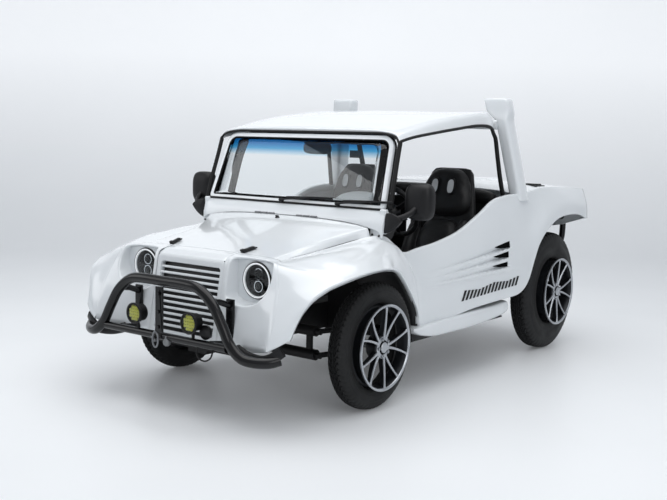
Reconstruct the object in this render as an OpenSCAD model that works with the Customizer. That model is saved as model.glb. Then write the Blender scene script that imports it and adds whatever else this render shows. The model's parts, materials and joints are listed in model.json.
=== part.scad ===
// Two-seat dune buggy: fibreglass tub and wings on a backbone chassis, hard top, bull bar.
// Frame: +Z up, the car faces -Y, +X is its left side, origin on the ground below the middle.

/* [Overall] */
// Distance between the front and rear axles
wheelbase = 2020; // [1850:5:2450]
// From the front axle forward to the bull bar
front_overhang = 815; // [810:5:880]
// From the rear axle back to the rear bumper
rear_overhang = 400; // [395:5:440]
// Width of the body over its wings
body_w = 1600; // [1560:5:1720]
// Thickness of the fibreglass panels
wall = 7; // [5:0.5:9]
// Gap between neighbouring body panels
seam = 0.6; // [0.3:0.1:2]

/* [Wheels] */
// Outer diameter of a front tyre
front_tyre_d = 652; // [600:2:670]
// Width of a front tyre
front_tyre_w = 205; // [175:5:215]
// Outer diameter of a rear tyre
rear_tyre_d = 777; // [700:2:800]
// Width of a rear tyre
rear_tyre_w = 265; // [225:5:275]
// Diameter over the rim flanges
rim_d = 441; // [400:1:460]
// From the middle of the car to the front rim's outer face
front_face_x = 770; // [740:1:775]
// From the middle of the car to the rear rim's outer face
rear_face_x = 791; // [770:1:800]
// Number of spoke pairs on a rim
spoke_pairs = 5; // [4:1:7]
// Running clearance of the wheel bearings and king pins
bearing_gap = 0.3; // [0.2:0.05:0.5]

/* [Steering] */
// Steering angle each way
steer_max = 28; // [20:1:30]
// Turns of the steering wheel for each degree at the road wheels
steer_ratio = 15; // [12:0.5:18]
// Diameter of the steering wheel
steering_wheel_d = 340; // [300:5:360]
// Distance of the king pins from the middle of the car
kingpin_x = 585; // [575:1:600]

/* [Lamps] */
// Diameter of a headlamp
headlamp_d = 178; // [160:1:184]
// Distance of a headlamp from the middle of the car
headlamp_x = 386; // [370:1:395]
// Height of the headlamps
headlamp_z = 684; // [680:1:688]
// Diameter of a fog lamp
fog_d = 108; // [90:1:120]

/* [Bull bar] */
// Diameter of the bull bar's tube
bar_d = 50; // [38:1:56]
// Diameter of the tow eye's hole
tow_eye_d = 28; // [20:1:32]

/* [Hidden] */

total_length = front_overhang + wheelbase + rear_overhang;
front_axle_y = front_overhang - total_length / 2;
// The drawings below are laid out with the front axle at Y = 0 and the wheelbase and width here
drawn_wheelbase = 2020;
drawn_w = 1600;
drawn_tail = 390;
tail_from = 1900;
stretch_from = 420;
stretch_to = 1400;
width_scale = body_w / drawn_w;
longer = wheelbase - drawn_wheelbase;

// Gap left where one piece rests against another
fit = 0.3;
white = "white";
black = [0.05, 0.05, 0.05];
steel = [0.6, 0.6, 0.62];

// Y of a drawn station once the middle of the car is stretched to the wheelbase
function share(y, from, to) = max(0, min(1, (y - from) / (to - from)));
function sy(y) = y + longer * share(y, stretch_from, stretch_to)
    + (rear_overhang - drawn_tail) * share(y, tail_from, drawn_wheelbase + drawn_tail);
// A drawn body point, widened and stretched
function bp(p) = [p[0] * width_scale, sy(p[1]), p[2]];
function px(x) = x * width_scale;
module at_axle() { translate([0, front_axle_y, 0]) children(); }
module left_right() { children(); mirror([1, 0, 0]) children(); }

// Curve through points: Catmull-Rom with straight run-outs, n steps a span
function before(p) = 2 * p[0] - p[1];
function after(p) = 2 * p[len(p) - 1] - p[len(p) - 2];
function cr(a, b, c, d, t) = b + 0.5 * t * (c - a + t * (2 * a - 5 * b + 4 * c - d + t * (3 * (b - c) + d - a)));
function curve(p, n) = let(q = concat([before(p)], p, [after(p)]))
    [for (i = [0:(len(p) - 1) * n]) let(k = min(floor(i / n), len(p) - 2), t = i / n - k)
        cr(q[k], q[k + 1], q[k + 2], q[k + 3], t)];
function columns(g) = [for (j = [0:len(g[0]) - 1]) [for (row = g) row[j]]];
// A net of points made finer along its rows and across them
function skin(net, nu, nv) = columns([for (c = columns([for (row = net) curve(row, nv)])) curve(c, nu)]);
function unit(v) = v / max(norm(v), 1e-9);
function normal_at(g, i, j) = let(n = len(g) - 1, m = len(g[0]) - 1)
    unit(cross(g[i][min(j + 1, m)] - g[i][max(j - 1, 0)], g[min(i + 1, n)][j] - g[max(i - 1, 0)][j]));
function flat(a) = [for (r = a) each r];
function quad(a, b, c, d) = [[a, b, c], [a, c, d]];

// A sheet whose outer face is the given grid, with its thickness t laid inwards
module sheet(g, t) {
    n = len(g);
    m = len(g[0]);
    inner = [for (i = [0:n - 1]) [for (j = [0:m - 1]) g[i][j] - t * normal_at(g, i, j)]];
    k = n * m;
    polyhedron(
        points = concat(flat(g), flat(inner)),
        faces = flat(concat(
            [for (i = [0:n - 2]) for (j = [0:m - 2])
                quad(i * m + j, (i + 1) * m + j, (i + 1) * m + j + 1, i * m + j + 1)],
            [for (i = [0:n - 2]) for (j = [0:m - 2])
                quad(k + i * m + j, k + i * m + j + 1, k + (i + 1) * m + j + 1, k + (i + 1) * m + j)],
            [for (j = [0:m - 2]) quad(j, j + 1, k + j + 1, k + j)],
            [for (j = [0:m - 2]) let(r = (n - 1) * m + j) quad(r, k + r, k + r + 1, r + 1)],
            [for (i = [0:n - 2]) quad(i * m, k + i * m, k + (i + 1) * m, (i + 1) * m)],
            [for (i = [0:n - 2]) let(r = i * m + m - 1) quad(r, r + m, k + r + m, k + r)])));
}
module panel(net, nu, nv, t = wall) { sheet(skin([for (row = net) [for (p = row) bp(p)]], nu, nv), t); }

// A round tube swept along a smooth curve through points, with s sides and n steps a span
function tangents(p) = [for (i = [0:len(p) - 1]) unit(p[min(i + 1, len(p) - 1)] - p[max(i - 1, 0)])];
function carried(side, t) = unit(side - (side * t) * t);
function sides(t, i, side) = i == len(t) ? [] : let(s = carried(side, t[i])) concat([s], sides(t, i + 1, s));
module pipe(pts, d, n = 4, s = 12) {
    path = curve(pts, n);
    t = tangents(path);
    start = abs(t[0][0]) < 0.9 ? [1, 0, 0] : [0, 1, 0];
    u = sides(t, 0, start);
    rings = [for (i = [0:len(path) - 1]) for (k = [0:s - 1])
        path[i] + d / 2 * (cos(360 * k / s) * u[i] + sin(360 * k / s) * cross(t[i], u[i]))];
    last = (len(path) - 1) * s;
    polyhedron(points = rings, faces = concat(
        [[for (k = [0:s - 1]) k]],
        [for (i = [0:len(path) - 2]) for (k = [0:s - 1]) each quad(
            i * s + k, (i + 1) * s + k, (i + 1) * s + (k + 1) % s, i * s + (k + 1) % s)],
        [[for (k = [s - 1:-1:0]) last + k]]));
}
module rod(a, b, d) {
    v = b - a;
    translate(a) rotate([0, acos(v[2] / norm(v)), atan2(v[1], v[0])]) cylinder(d = d, h = norm(v), $fn = 24);
}
module box(lo, hi) { translate(lo) cube(hi - lo); }
module rounded_plate(w, h, t, r) {
    linear_extrude(t) hull() for (x = [-1, 1], y = [-1, 1]) translate([x * (w / 2 - r), y * (h / 2 - r)]) circle(r, $fn = 24);
}

// ---- Body panels, drawn for the left side ----
// Front face of a wing: rows rise from the bottom edge, columns run outwards to the crease
face_net = [
    [[232, -650, 362], [400, -662, 360], [520, -690, 375], [600, -722, 395]],
    [[232, -645, 470], [400, -658, 468], [520, -675, 472], [604, -697, 482]],
    [[232, -635, 575], [400, -642, 573], [515, -650, 577], [600, -656, 588]],
    [[232, -622, 680], [400, -620, 680], [505, -620, 676], [580, -618, 674]],
    [[232, -606, 764.6], [400, -600, 766], [480, -592, 767], [540, -580, 762]]];
// Wing outside the crease: rows run from the bottom corner over the top to the sill
wing_net = [
    [[600, -722, 395], [640, -712, 418], [672, -700, 438], [698, -686, 455]],
    [[604, -697, 482], [645, -690, 495], [684, -678, 512], [716, -660, 530]],
    [[600, -656, 588], [650, -648, 592], [700, -640, 600], [742, -630, 610]],
    [[580, -618, 674], [642, -610, 668], [708, -600, 662], [766, -585, 658]],
    [[540, -580, 762], [625, -560, 742], [712, -525, 718], [786, -505, 694]],
    [[490, -500, 782], [615, -450, 778], [720, -420, 752], [798, -400, 716]],
    [[478, -370, 792], [615, -330, 808], [725, -290, 780], [800, -270, 732]],
    [[480, -240, 804], [620, -190, 822], [732, -160, 792], [800, -140, 741]],
    [[498, -110, 822], [632, -60, 836], [734, -40, 798], [792, -20, 736]],
    [[540, 0, 846], [650, 60, 842], [722, 80, 790], [766, 95, 708]],
    [[590, 80, 868], [672, 150, 836], [718, 180, 760], [742, 190, 652]],
    [[640, 165, 862], [694, 240, 780], [714, 285, 660], [722, 305, 550]],
    [[670, 235, 790], [704, 310, 690], [712, 362, 560], [712, 385, 450]],
    [[690, 300, 772], [708, 372, 620], [708, 404, 470], [708, 412, 355]]];
// Nose band between the grille and the hood's front edge: rows run back
nose_net = [
    [[0, -612, 771.7], [150, -608, 771.7], [300, -598, 773.7], [480, -588, 774.7]],
    [[0, -560, 790], [150, -558, 789], [300, -552, 787], [470, -545, 781]],
    [[0, -514.6, 800], [150, -514.6, 799], [300, -513.6, 796], [455, -508.6, 788]]];
// Raised hood: rows run back to the cowl
hood_net = [
    [[0, -508, 801], [150, -508, 800], [300, -507, 797], [440, -503, 790], [468, -502, 774]],
    [[0, -380, 832], [150, -378, 830], [300, -374, 825], [432, -366, 814], [468, -362, 790]],
    [[0, -240, 865], [160, -238, 863], [310, -232, 854], [436, -222, 838], [470, -216, 803]],
    [[0, -110, 895], [170, -106, 893], [335, -98, 882], [458, -84, 864], [490, -78, 824]],
    [[0, 0, 920], [200, 2, 918], [390, 8, 906], [505, 20, 888], [532, 26, 848]],
    [[0, 104, 940], [220, 104, 938], [420, 103, 928], [556, 100, 908], [580, 98, 868]]];
// Cowl: rows rise from the hood to the windscreen
cowl_net = [
    [[0, 116, 938], [220, 116, 936], [420, 115, 926], [562, 113, 903], [637, 127, 860.5]],
    [[0, 126, 968], [220, 126, 967], [420, 124, 961], [568, 121, 948], [640, 126, 930]],
    [[0, 149, 1000.7], [220, 149, 1000.7], [420, 149, 1000.7], [572, 149, 1000.7], [644, 149, 998]]];
// Tub side: rows run back from the front wheel to the rear wheel, columns fall from the cut edge
side_net = [
    [[690, 301, 772], [708, 373, 620], [708, 405, 470], [708, 413, 355]],
    [[704, 400, 790], [722, 440, 640], [724, 456, 480], [712, 462, 362]],
    [[716, 560, 812], [738, 570, 660], [740, 574, 500], [722, 576, 374]],
    [[726, 780, 860], [750, 770, 690], [752, 765, 520], [734, 760, 392]],
    [[728, 1000, 944], [758, 960, 740], [762, 940, 550], [745, 930, 410]],
    [[722, 1180, 1016], [758, 1140, 790], [768, 1110, 585], [755, 1100, 420]],
    [[722, 1330, 1040], [756, 1300, 830], [776, 1280, 620], [765, 1270, 428]],
    [[724, 1440, 1044], [756, 1430, 850], [784, 1430, 640], [776, 1450, 440]],
    [[726, 1500, 1048], [756, 1516, 860], [788, 1556, 690], [790, 1540, 505]],
    [[728, 1560, 1052], [756, 1590, 880], [790, 1630, 770], [800, 1600, 640]]];
// Rear wing: rows run back over the rear wheel, columns run out to the wheel arch's lip
rear_wing_net = [
    [[728, 1564, 1052], [756, 1594, 880], [790, 1634, 770], [800, 1604, 640]],
    [[730, 1650, 1062], [758, 1670, 925], [790, 1690, 830], [800, 1668, 740]],
    [[732, 1770, 1080], [762, 1780, 985], [790, 1790, 900], [800, 1780, 822]],
    [[735, 1920, 1084], [766, 1920, 1010], [790, 1920, 945], [800, 1920, 882]],
    [[742, 2080, 1080], [770, 2080, 1020], [792, 2080, 962], [800, 2080, 902]],
    [[750, 2240, 1072], [774, 2250, 1020], [794, 2260, 960], [800, 2260, 896]],
    [[760, 2395, 1062], [778, 2400, 1010], [794, 2404, 940], [800, 2404, 862]]];
// Rear deck between the wings: rows run back and then down the tail
deck_net = [
    [[300, 1475, 1078], [450, 1475, 1074], [600, 1475, 1066], [724, 1475, 1047]],
    [[300, 1620, 1100], [450, 1620, 1096], [600, 1620, 1084], [727, 1620, 1060]],
    [[300, 1770, 1112], [450, 1770, 1108], [600, 1770, 1098], [731, 1770, 1081]],
    [[300, 2000, 1108], [450, 2000, 1104], [600, 2000, 1096], [738, 2000, 1083]],
    [[300, 2300, 1082], [450, 2300, 1080], [600, 2300, 1076], [751, 2300, 1069]],
    [[300, 2370, 1072], [450, 2370, 1070], [600, 2372, 1068], [756, 2376, 1063]],
    [[300, 2384, 1050], [450, 2386, 1050], [600, 2389, 1050], [757, 2394, 1046]],
    [[300, 2384, 960], [450, 2386, 960], [600, 2390, 958], [764, 2396, 950]],
    [[300, 2354, 790], [450, 2358, 794], [600, 2368, 806], [775, 2386, 850]]];

// A row carried on over the middle of the car, and a net made full width
function both(row) = concat([for (i = [len(row) - 1:-1:1]) [-row[i][0], row[i][1], row[i][2]]], row);
function full(net) = [for (row = net) both(row)];
// Prism along Y with the given outline in X and Z
module prism_y(pts, y0, y1) {
    translate([0, y1, 0]) rotate([90, 0, 0]) linear_extrude(y1 - y0) polygon(pts);
}
// One mesh of everything inside, for shells with cut-outs
module moulded() { resize([0, 0, 0]) union() children(); }

// ---- Front body ----
drawn_lamp_z = 690;
niche = [for (p = [[246, 590], [290, 568], [345, 560], [400, 564], [452, 580], [500, 616], [524, 670], [522, 730],
    [504, 800], [246, 800]]) [p[0] * width_scale, p[1] + headlamp_z - drawn_lamp_z]];
lamp_panel_y = -546;
niche_wall = 5;
niche_top = 764;
module lamp_niche() {
    difference() {
        translate([0, lamp_panel_y + niche_wall, 0]) rotate([90, 0, 0]) linear_extrude(110) offset(delta = niche_wall) polygon(niche);
        prism_y(niche, -700, lamp_panel_y);
        translate([headlamp_x * width_scale, 0, headlamp_z]) rotate([90, 0, 0])
            cylinder(d = headlamp_d - 26, h = 1200, center = true, $fn = 48);
    }
}
module front_wing() {
    moulded() {
        panel(wing_net, 3, 3);
        difference() {
            panel(face_net, 3, 3);
            prism_y(niche, -760, -500);
        }
        intersection() {
            lamp_niche();
            box([0, -800, 0], [900, 0, niche_top]);
            union() {
                panel(face_net, 3, 3, 120);
                panel(face_net, 3, 3, 60);
            }
        }
    }
}
module front_wing_left() { at_axle() color(white) front_wing(); }
module front_wing_right() { at_axle() color(white) mirror([1, 0, 0]) front_wing(); }

grille_half = 231;
grille_top = [-612, 764];
grille_foot = [-672, 362];
grille_lean = atan2(grille_top[0] - grille_foot[0], grille_top[1] - grille_foot[1]);
grille_h = norm(grille_top - grille_foot);
slats = 11;
slot_half = 206;
slot_low = 30;
slot_high = grille_h - 34;
slat_h = 13;
slat_depth = 22;
module on_grille() { translate([0, grille_foot[0], grille_foot[1]]) rotate([-grille_lean, 0, 0]) children(); }
module nose() {
    at_axle() color(white) {
        panel(full(nose_net), 3, 3);
        on_grille() difference() {
            box([-grille_half, 0, 0], [grille_half, wall, grille_h]);
            box([-slot_half, -1, slot_low], [slot_half, wall + 1, slot_high]);
        }
    }
}
module grille() {
    at_axle() color(black) on_grille() {
        box([-grille_half + 4, slat_depth + 1, slot_low - 12], [grille_half - 4, slat_depth + 5, slot_high + 12]);
        pitch = (slot_high - slot_low) / (slats + 1);
        color(white) for (i = [1:slats]) {
            box([-slot_half + 0.3, 0, slot_low + i * pitch - slat_h / 2], [slot_half - 0.3, slat_depth + 1, slot_low + i * pitch + slat_h / 2]);
        }
    }
}

hood_hinge_y = 110;
hood_hinge_z = 942;
hinge_pin_d = 5;
hinge_barrel_d = 12;
hinge_in = 80;
hinge_len = 140;
module hinge_barrels() {
    left_right() difference() {
        translate([hinge_in, 0, 0]) rotate([0, 90, 0]) cylinder(d = hinge_barrel_d, h = hinge_len, $fn = 32);
        translate([hinge_in - 1, 0, 0]) rotate([0, 90, 0]) cylinder(d = hinge_pin_d + 2 * bearing_gap, h = hinge_len + 2, $fn = 32);
    }
}
module hinge_pins() {
    left_right() {
        translate([hinge_in - 20, 0, 0]) rotate([0, 90, 0]) cylinder(d = hinge_pin_d, h = hinge_len + 40, $fn = 32);
    }
}
module hood() {
    at_axle() color(white) {
        panel(full(hood_net), 3, 2);
        translate([0, hood_hinge_y, hood_hinge_z]) hinge_barrels();
    }
}
module cowl() {
    at_axle() color(white) {
        panel(full(cowl_net), 2, 2);
        translate([0, hood_hinge_y, hood_hinge_z]) {
            hinge_pins();
            left_right() for (x = [hinge_in - 18, hinge_in + hinge_len + 2])
                box([x, -3, -3], [x + 16, 5.4, 3]);
        }
    }
}

// ---- Tub ----
module gills() {
    // three slots that open towards the rear, each a wedge seen from the side
    translate([500, 0, 0]) rotate([90, 0, 90]) linear_extrude(400) {
        polygon([[sy(1100), 722], [sy(1330), 748], [sy(1345), 784], [sy(1100), 734]]);
        polygon([[sy(1090), 671], [sy(1310), 688], [sy(1325), 722], [sy(1090), 683]]);
        polygon([[sy(1080), 620], [sy(1295), 628], [sy(1310), 658], [sy(1080), 631]]);
    }
}
module side_panel() {
    moulded() difference() {
        panel(side_net, 3, 3);
        gills();
        pillar(seam);
    }
}
module side_panel_left() { at_axle() color(white) side_panel(); }
module side_panel_right() { at_axle() color(white) mirror([1, 0, 0]) side_panel(); }
module rear_wing() {
    moulded() difference() {
        panel(rear_wing_net, 3, 3);
        pillar(seam);
    }
}
module rear_wing_left() { at_axle() color(white) rear_wing(); }
module rear_wing_right() { at_axle() color(white) mirror([1, 0, 0]) rear_wing(); }

lid_half = 330;
lid_from = 1560;
lid_to = 2280;
lid_gap = 6;
lid_hinge = [lid_from - 3, 1099.8];
deck_full = [for (row = deck_net) [[0, row[0][1], row[0][2] + (row[0][2] > 1000 ? 4 : 0)], row[0], row[1], row[2],
    row[3] - [wall + seam, 0, 0]]];
module lid_cut(g) { box([-px(lid_half) - g, sy(lid_from) - g, 900], [px(lid_half) + g, sy(lid_to) + g, 1300]); }
module rear_deck() {
    at_axle() color(white) {
        moulded() {
            difference() {
                panel(full(deck_full), 3, 2);
                lid_cut(lid_gap);
                left_right() pillar(seam);
                left_right() lamp_place() translate([0, 0, -60]) cylinder(d = lamp_d + 2 * seam, h = 120, $fn = 48);
            }
            // bosses behind the number plate
            left_right() translate([plate_pitch / 3, sy(2370), plate_z]) rotate([-90, 0, 0])
                cylinder(d = 18, h = sy(plate_y) - plate_t3 - fit - sy(2370), $fn = 24);
        }
        translate([0, sy(lid_hinge[0]), lid_hinge[1]]) {
            hinge_pins();
            left_right() for (x = [hinge_in - 18, hinge_in + hinge_len + 2])
                box([x, -3 - lid_gap / 2, -5.2], [x + 16, 1.4, 3]);
        }
    }
}
module engine_lid() {
    at_axle() color(white) {
        moulded() intersection() {
            panel(full(deck_full), 3, 2);
            lid_cut(0);
        }
        translate([0, sy(lid_hinge[0]), lid_hinge[1]]) hinge_barrels();
    }
}

// ---- Chassis ----
floor_z = 268;
floor_t = 8;
floor_half = 640;
tunnel_w = 130;
tunnel_h = 150;
beam_y = -150;
beam_d = 56;
bulkhead_y = 1440;
bulkhead_h = 1000;
head_gap = 40;
module chassis() {
    deck_z = floor_z + floor_t;
    tunnel_z = deck_z + fit;
    tunnel_top = tunnel_z + tunnel_h;
    at_axle() color(black) {
        // floor pan, its upturned sides, and the tunnel back to the gearbox
        box([-px(floor_half), sy(430), floor_z], [px(floor_half), sy(1500), deck_z]);
        left_right() box([px(floor_half) - 8, sy(440), tunnel_z], [px(floor_half), sy(1480), tunnel_z + 160]);
        box([-tunnel_w / 2, beam_y + beam_d / 2 + fit, tunnel_z], [tunnel_w / 2, wheelbase - 200 - fit, tunnel_top]);
        // front and rear bulkheads
        left_right() {
            box([tunnel_w / 2 + fit, sy(430), tunnel_z], [px(360), sy(438), 640]);
            box([tunnel_w / 2 + fit, sy(bulkhead_y), tunnel_z], [px(floor_half) - 8 - fit, sy(bulkhead_y) + 8, bulkhead_h]);
        }
        // head of the frame ahead of the axle beam, and its cross member
        box([-tunnel_w / 2, -600 + head_gap, tunnel_z], [tunnel_w / 2, beam_y - beam_d / 2 - fit, tunnel_top]);
        box([-px(330), -600, floor_z + 40], [px(330), -600 + head_gap - fit, floor_z + 80]);
        // posts under the luggage tray
        for (y = [-300, 40]) box([-30, y, tunnel_top + fit], [30, y + 40, tray_low - fit]);
    }
}

// ---- Windscreen and cowl ----
glass_lean = 19.5;
screen_foot = [150, 1001];
screen_h = 410;
frame_w = 46;
frame_d = 30;
screen_half_low = 622;
screen_half_high = 596;
glass_t = 5;
module on_screen() { translate([0, screen_foot[0], screen_foot[1]]) rotate([-glass_lean, 0, 0]) children(); }
// Outline in the plane of the windscreen, inset by e, y up the screen
function screen_outline(e) = let(w0 = px(screen_half_low) - e, w1 = px(screen_half_high) - e, h = screen_h - e) concat(
    [[-w0, e], [w0, e], [w1, h - 44]],
    [for (a = [0:15:90]) [w1 - 70 + 70 * cos(a), h - 44 + 44 * sin(a)]],
    [for (a = [90:15:180]) [-w1 + 70 + 70 * cos(a), h - 44 + 44 * sin(a)]],
    [[-w1, h - 44]]);
module screen_sheet(e, y0, y1) {
    on_screen() translate([0, y1, 0]) rotate([90, 0, 0]) linear_extrude(y1 - y0) polygon(screen_outline(e));
}
module windscreen_frame() {
    at_axle() color(white) {
        difference() {
            screen_sheet(0, 0, frame_d);
            screen_sheet(frame_w, -1, frame_d + 1);
        }
    }
}
module windscreen_glass() {
    at_axle() color([0.55, 0.6, 0.62, 0.35]) screen_sheet(frame_w + 0.3, 10, 10 + glass_t);
}
module wipers() {
    at_axle() color(black) on_screen() {
        for (pivot = [-60, 330]) {
            translate([px(pivot), -fit, 28]) rotate([90, 0, 0]) cylinder(d = 26, h = 30, $fn = 24);
            translate([px(pivot), -30, 28]) rotate([0, 86, 0]) translate([-5, 0, 0]) cube([10, 8, 190]);
            translate([px(pivot) + 20, -24, 44]) rotate([0, 88, 0]) translate([-4, 0, 0]) cube([8, 14, 300]);
        }
    }
}
module interior_mirror() {
    at_axle() color(black) on_screen() translate([0, frame_d + fit, screen_h - 24]) {
        translate([-9, 0, -10]) cube([18, 84, 14]);
        translate([0, 78, -36]) rotate([90 + glass_lean + 4, 0, 0]) rounded_plate(190, 58, 20, 22);
    }
}
dash_top = 985;
module dashboard() {
    at_axle() color(black) {
        difference() {
            translate([-px(590), 0, dash_top]) rotate([90, 0, 90]) linear_extrude(2 * px(590))
                polygon([[157.5, 12.6], [178, 5], [205, 2], [330, 4], [372, -30], [378, -130], [350, -190], [335, -190],
                    [335, -60], [205, -30], [157.5, -16]]);
            on_column() translate([0, 0, -450]) cylinder(d = column_d + 2 * fit, h = 400, $fn = 32);
        }
        // cowl over the instruments in front of the driver
        color([0.8, 0.8, 0.8]) translate([px(wheel_at[0]), 210, dash_top + 4 + fit]) rotate([-90, 0, 0]) intersection() {
            cylinder(r = 120, h = 118, $fn = 48);
            translate([-200, -90, 0]) cube([400, 90, 120]);
        }
    }
}
tray_half = 350;
tray_low = 560;
tray_high = 760;
tray_wall = 5;
module boot_tray() {
    at_axle() color([0.2, 0.2, 0.2]) difference() {
        box([-px(tray_half), -480, tray_low], [px(tray_half), 100, tray_high]);
        box([-px(tray_half) + tray_wall, -480 + tray_wall, tray_low + tray_wall], [px(tray_half) - tray_wall, 100 - tray_wall, tray_high + 1]);
    }
}

// ---- Top and hoop ----
roof_net = [
    [[0, 290, 1400.5], [200, 290, 1400.5], [400, 288, 1400.5], [520, 284, 1398.5], [604, 274, 1382], [634, 262, 1354]],
    [[0, 420, 1452], [200, 420, 1450], [400, 416, 1444], [530, 410, 1434], [604, 404, 1420], [634, 398, 1404]],
    [[0, 620, 1506], [200, 620, 1503], [400, 616, 1492], [530, 612, 1478], [606, 606, 1464], [634, 600, 1444]],
    [[0, 860, 1532], [200, 860, 1530], [400, 858, 1522], [530, 856, 1512], [606, 852, 1502], [634, 850, 1486]],
    [[0, 1080, 1540], [200, 1080, 1539], [400, 1080, 1536], [530, 1080, 1532], [606, 1080, 1530], [634, 1080, 1526]],
    [[0, 1240, 1536], [200, 1240, 1536], [400, 1240, 1536], [530, 1240, 1538], [606, 1240, 1540], [634, 1240, 1536]],
    [[0, 1340, 1516], [200, 1340, 1516], [400, 1340, 1516], [530, 1330, 1520], [604, 1316, 1520], [632, 1300, 1510]]];
module hard_top() { at_axle() color(white) panel(full(roof_net), 2, 2, 9); }

hoop_base = [706, 1540, 1048];
hoop_top = [604, 1432, 1540];
hoop_beam_z = 1498;
pillar_w = 84;
pillar_d = 126;
ear_w = 180;
ear_d = 105;
ear_h = 84;
module pillar(g = 0) {
    v = [hoop_top[0] - hoop_base[0], hoop_top[1] - hoop_base[1]] / (hoop_top[2] - hoop_base[2]);
    multmatrix([[1, 0, v[0], px(hoop_base[0])], [0, 1, v[1], sy(hoop_base[1])], [0, 0, 1, hoop_base[2]]])
        translate([0, 0, -40 - g]) rounded_plate(pillar_w + 2 * g, pillar_d + 2 * g, hoop_top[2] - hoop_base[2] + 50, 26);
}
module roll_hoop() {
    at_axle() color(white) moulded() {
        left_right() {
            pillar();
            translate([px(hoop_top[0]) - 12, sy(hoop_top[1]) - 8, hoop_top[2] + 8]) rounded_plate(ear_w, ear_d, ear_h, 22);
        }
        translate([-px(hoop_top[0]), sy(hoop_top[1]) - 45, 1440]) cube([2 * px(hoop_top[0]), 80, 62]);
    }
}
cage_d = 44;
cage_side = [[532, 232, 994], [512, 318, 1290], [500, 430, 1392], [508, 900, 1486.2], [512, 1300, 1480],
    [512, 1386.6, 1480]];
module roll_cage() {
    at_axle() color(black) {
        left_right() pipe([for (p = cage_side) bp(p)], cage_d);
        rod(bp([-500, 430, 1392]) + [cage_d / 2 + fit, 0, 0], bp([500, 430, 1392]) - [cage_d / 2 + fit, 0, 0], cage_d - 6);
    }
}

// ---- Lamps and bull bar ----
module headlamps() {
    at_axle() left_right() translate([px(headlamp_x), lamp_panel_y - 0.3, headlamp_z]) rotate([90, 0, 0]) {
        color(black) difference() {
            cylinder(d = headlamp_d + 1, h = 16, $fn = 64);
            translate([0, 0, 6]) cylinder(d = headlamp_d - 12, h = 20, $fn = 64);
        }
        color([0.2, 0.2, 0.22]) translate([0, 0, -60]) cylinder(d = headlamp_d - 30, h = 59.7, $fn = 48);
    }
}
bar_y = -front_overhang + bar_d / 2;
bar_z_top = 664;
bar_z_low = 395;
bar_points = [[0, 0, bar_z_top], [150, 0, bar_z_top], [240, 0, bar_z_top - 14], [325, 0, bar_z_top - 76],
    [385, 0, 500], [436, 0, 416], [500, 4, 364], [590, 34, 348], [680, 90, 358], [735, 150, 372]];
bar_side = [for (p = bar_points) [px(p[0]), bar_y + p[1], p[2]]];
plate_t = 10;
module bull_bar() {
    at_axle() color(black) {
        pipe(concat([for (i = [len(bar_side) - 1:-1:1]) [-bar_side[i][0], bar_side[i][1], bar_side[i][2]]], bar_side), bar_d);
        rod([-px(448) + bar_d / 2, bar_y, bar_z_low], [px(448) - bar_d / 2, bar_y, bar_z_low], bar_d);
        // stays back to the head of the frame
        left_right() {
            box([px(290), bar_y - 8, floor_z + 42], [px(330), -600 - fit, floor_z + 78]);
            box([px(290), bar_y - 8, floor_z + 70], [px(330), bar_y + 8, bar_z_low - bar_d / 2 - fit]);
        }
    }
}
module tow_bracket() {
    at_axle() color(black) {
        difference() {
            box([-26, bar_y - plate_t, bar_z_low + bar_d / 2 + 0.3], [26, bar_y, bar_z_top - bar_d / 2 - 0.3]);
            translate([0, bar_y + 1, bar_z_low + 70]) rotate([90, 0, 0]) cylinder(d = 14, h = 30, $fn = 32);
        }
        translate([0, bar_y - bar_d / 2 - 0.3, 0]) difference() {
            hull() {
                translate([-44, 0, bar_z_low - 52]) rotate([90, 0, 0]) cylinder(d = 62, h = plate_t, $fn = 32);
                translate([-6, 0, bar_z_low + 24]) rotate([90, 0, 0]) cylinder(d = 44, h = plate_t, $fn = 32);
            }
            translate([-44, 1, bar_z_low - 52]) rotate([90, 0, 0]) cylinder(d = tow_eye_d, h = plate_t + 2, $fn = 48);
        }
    }
}
fog_x = 190;
fog_z = bar_z_low + bar_d / 2 + fog_d / 2 + 12;
fog_depth = 30;
module fog_lamps() {
    at_axle() left_right() translate([px(fog_x), bar_y - bar_d / 2 + fog_depth, fog_z]) rotate([90, 0, 0]) {
        color(black) cylinder(d1 = fog_d * 0.7, d2 = fog_d, h = fog_depth - 4, $fn = 48);
        color([0.75, 0.75, 0.3]) translate([0, 0, fog_depth - 4]) cylinder(d = fog_d - 8, h = 4, $fn = 48);
        color(black) translate([-8, -fog_d / 2 - 12 + fit, 4]) cube([16, 36, 12]);
    }
}
module hood_latches() {
    at_axle() color(black) left_right() translate([px(255), -470, 807.5]) rotate([12, 0, 0]) rounded_plate(26, 84, 14, 12);
}
mirror_arm = [[639, 888], [644, 932], [647.5, 984], [700, 980], [740, 957], [690, 920], [660, 890]];
module door_mirrors() {
    at_axle() color(black) left_right() {
        translate([px(772), 290, 1050]) rotate([90, 0, 0]) rounded_plate(160, 194, 74, 30);
        moulded() {
            prism_y([for (p = mirror_arm) [px(p[0]), p[1]]], 130, 154);
            hull() {
                box([px(690), 134, 930], [px(736), 150, 956]);
                box([px(720), 222, 936], [px(780), 280, 952.7]);
            }
        }
    }
}

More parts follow.
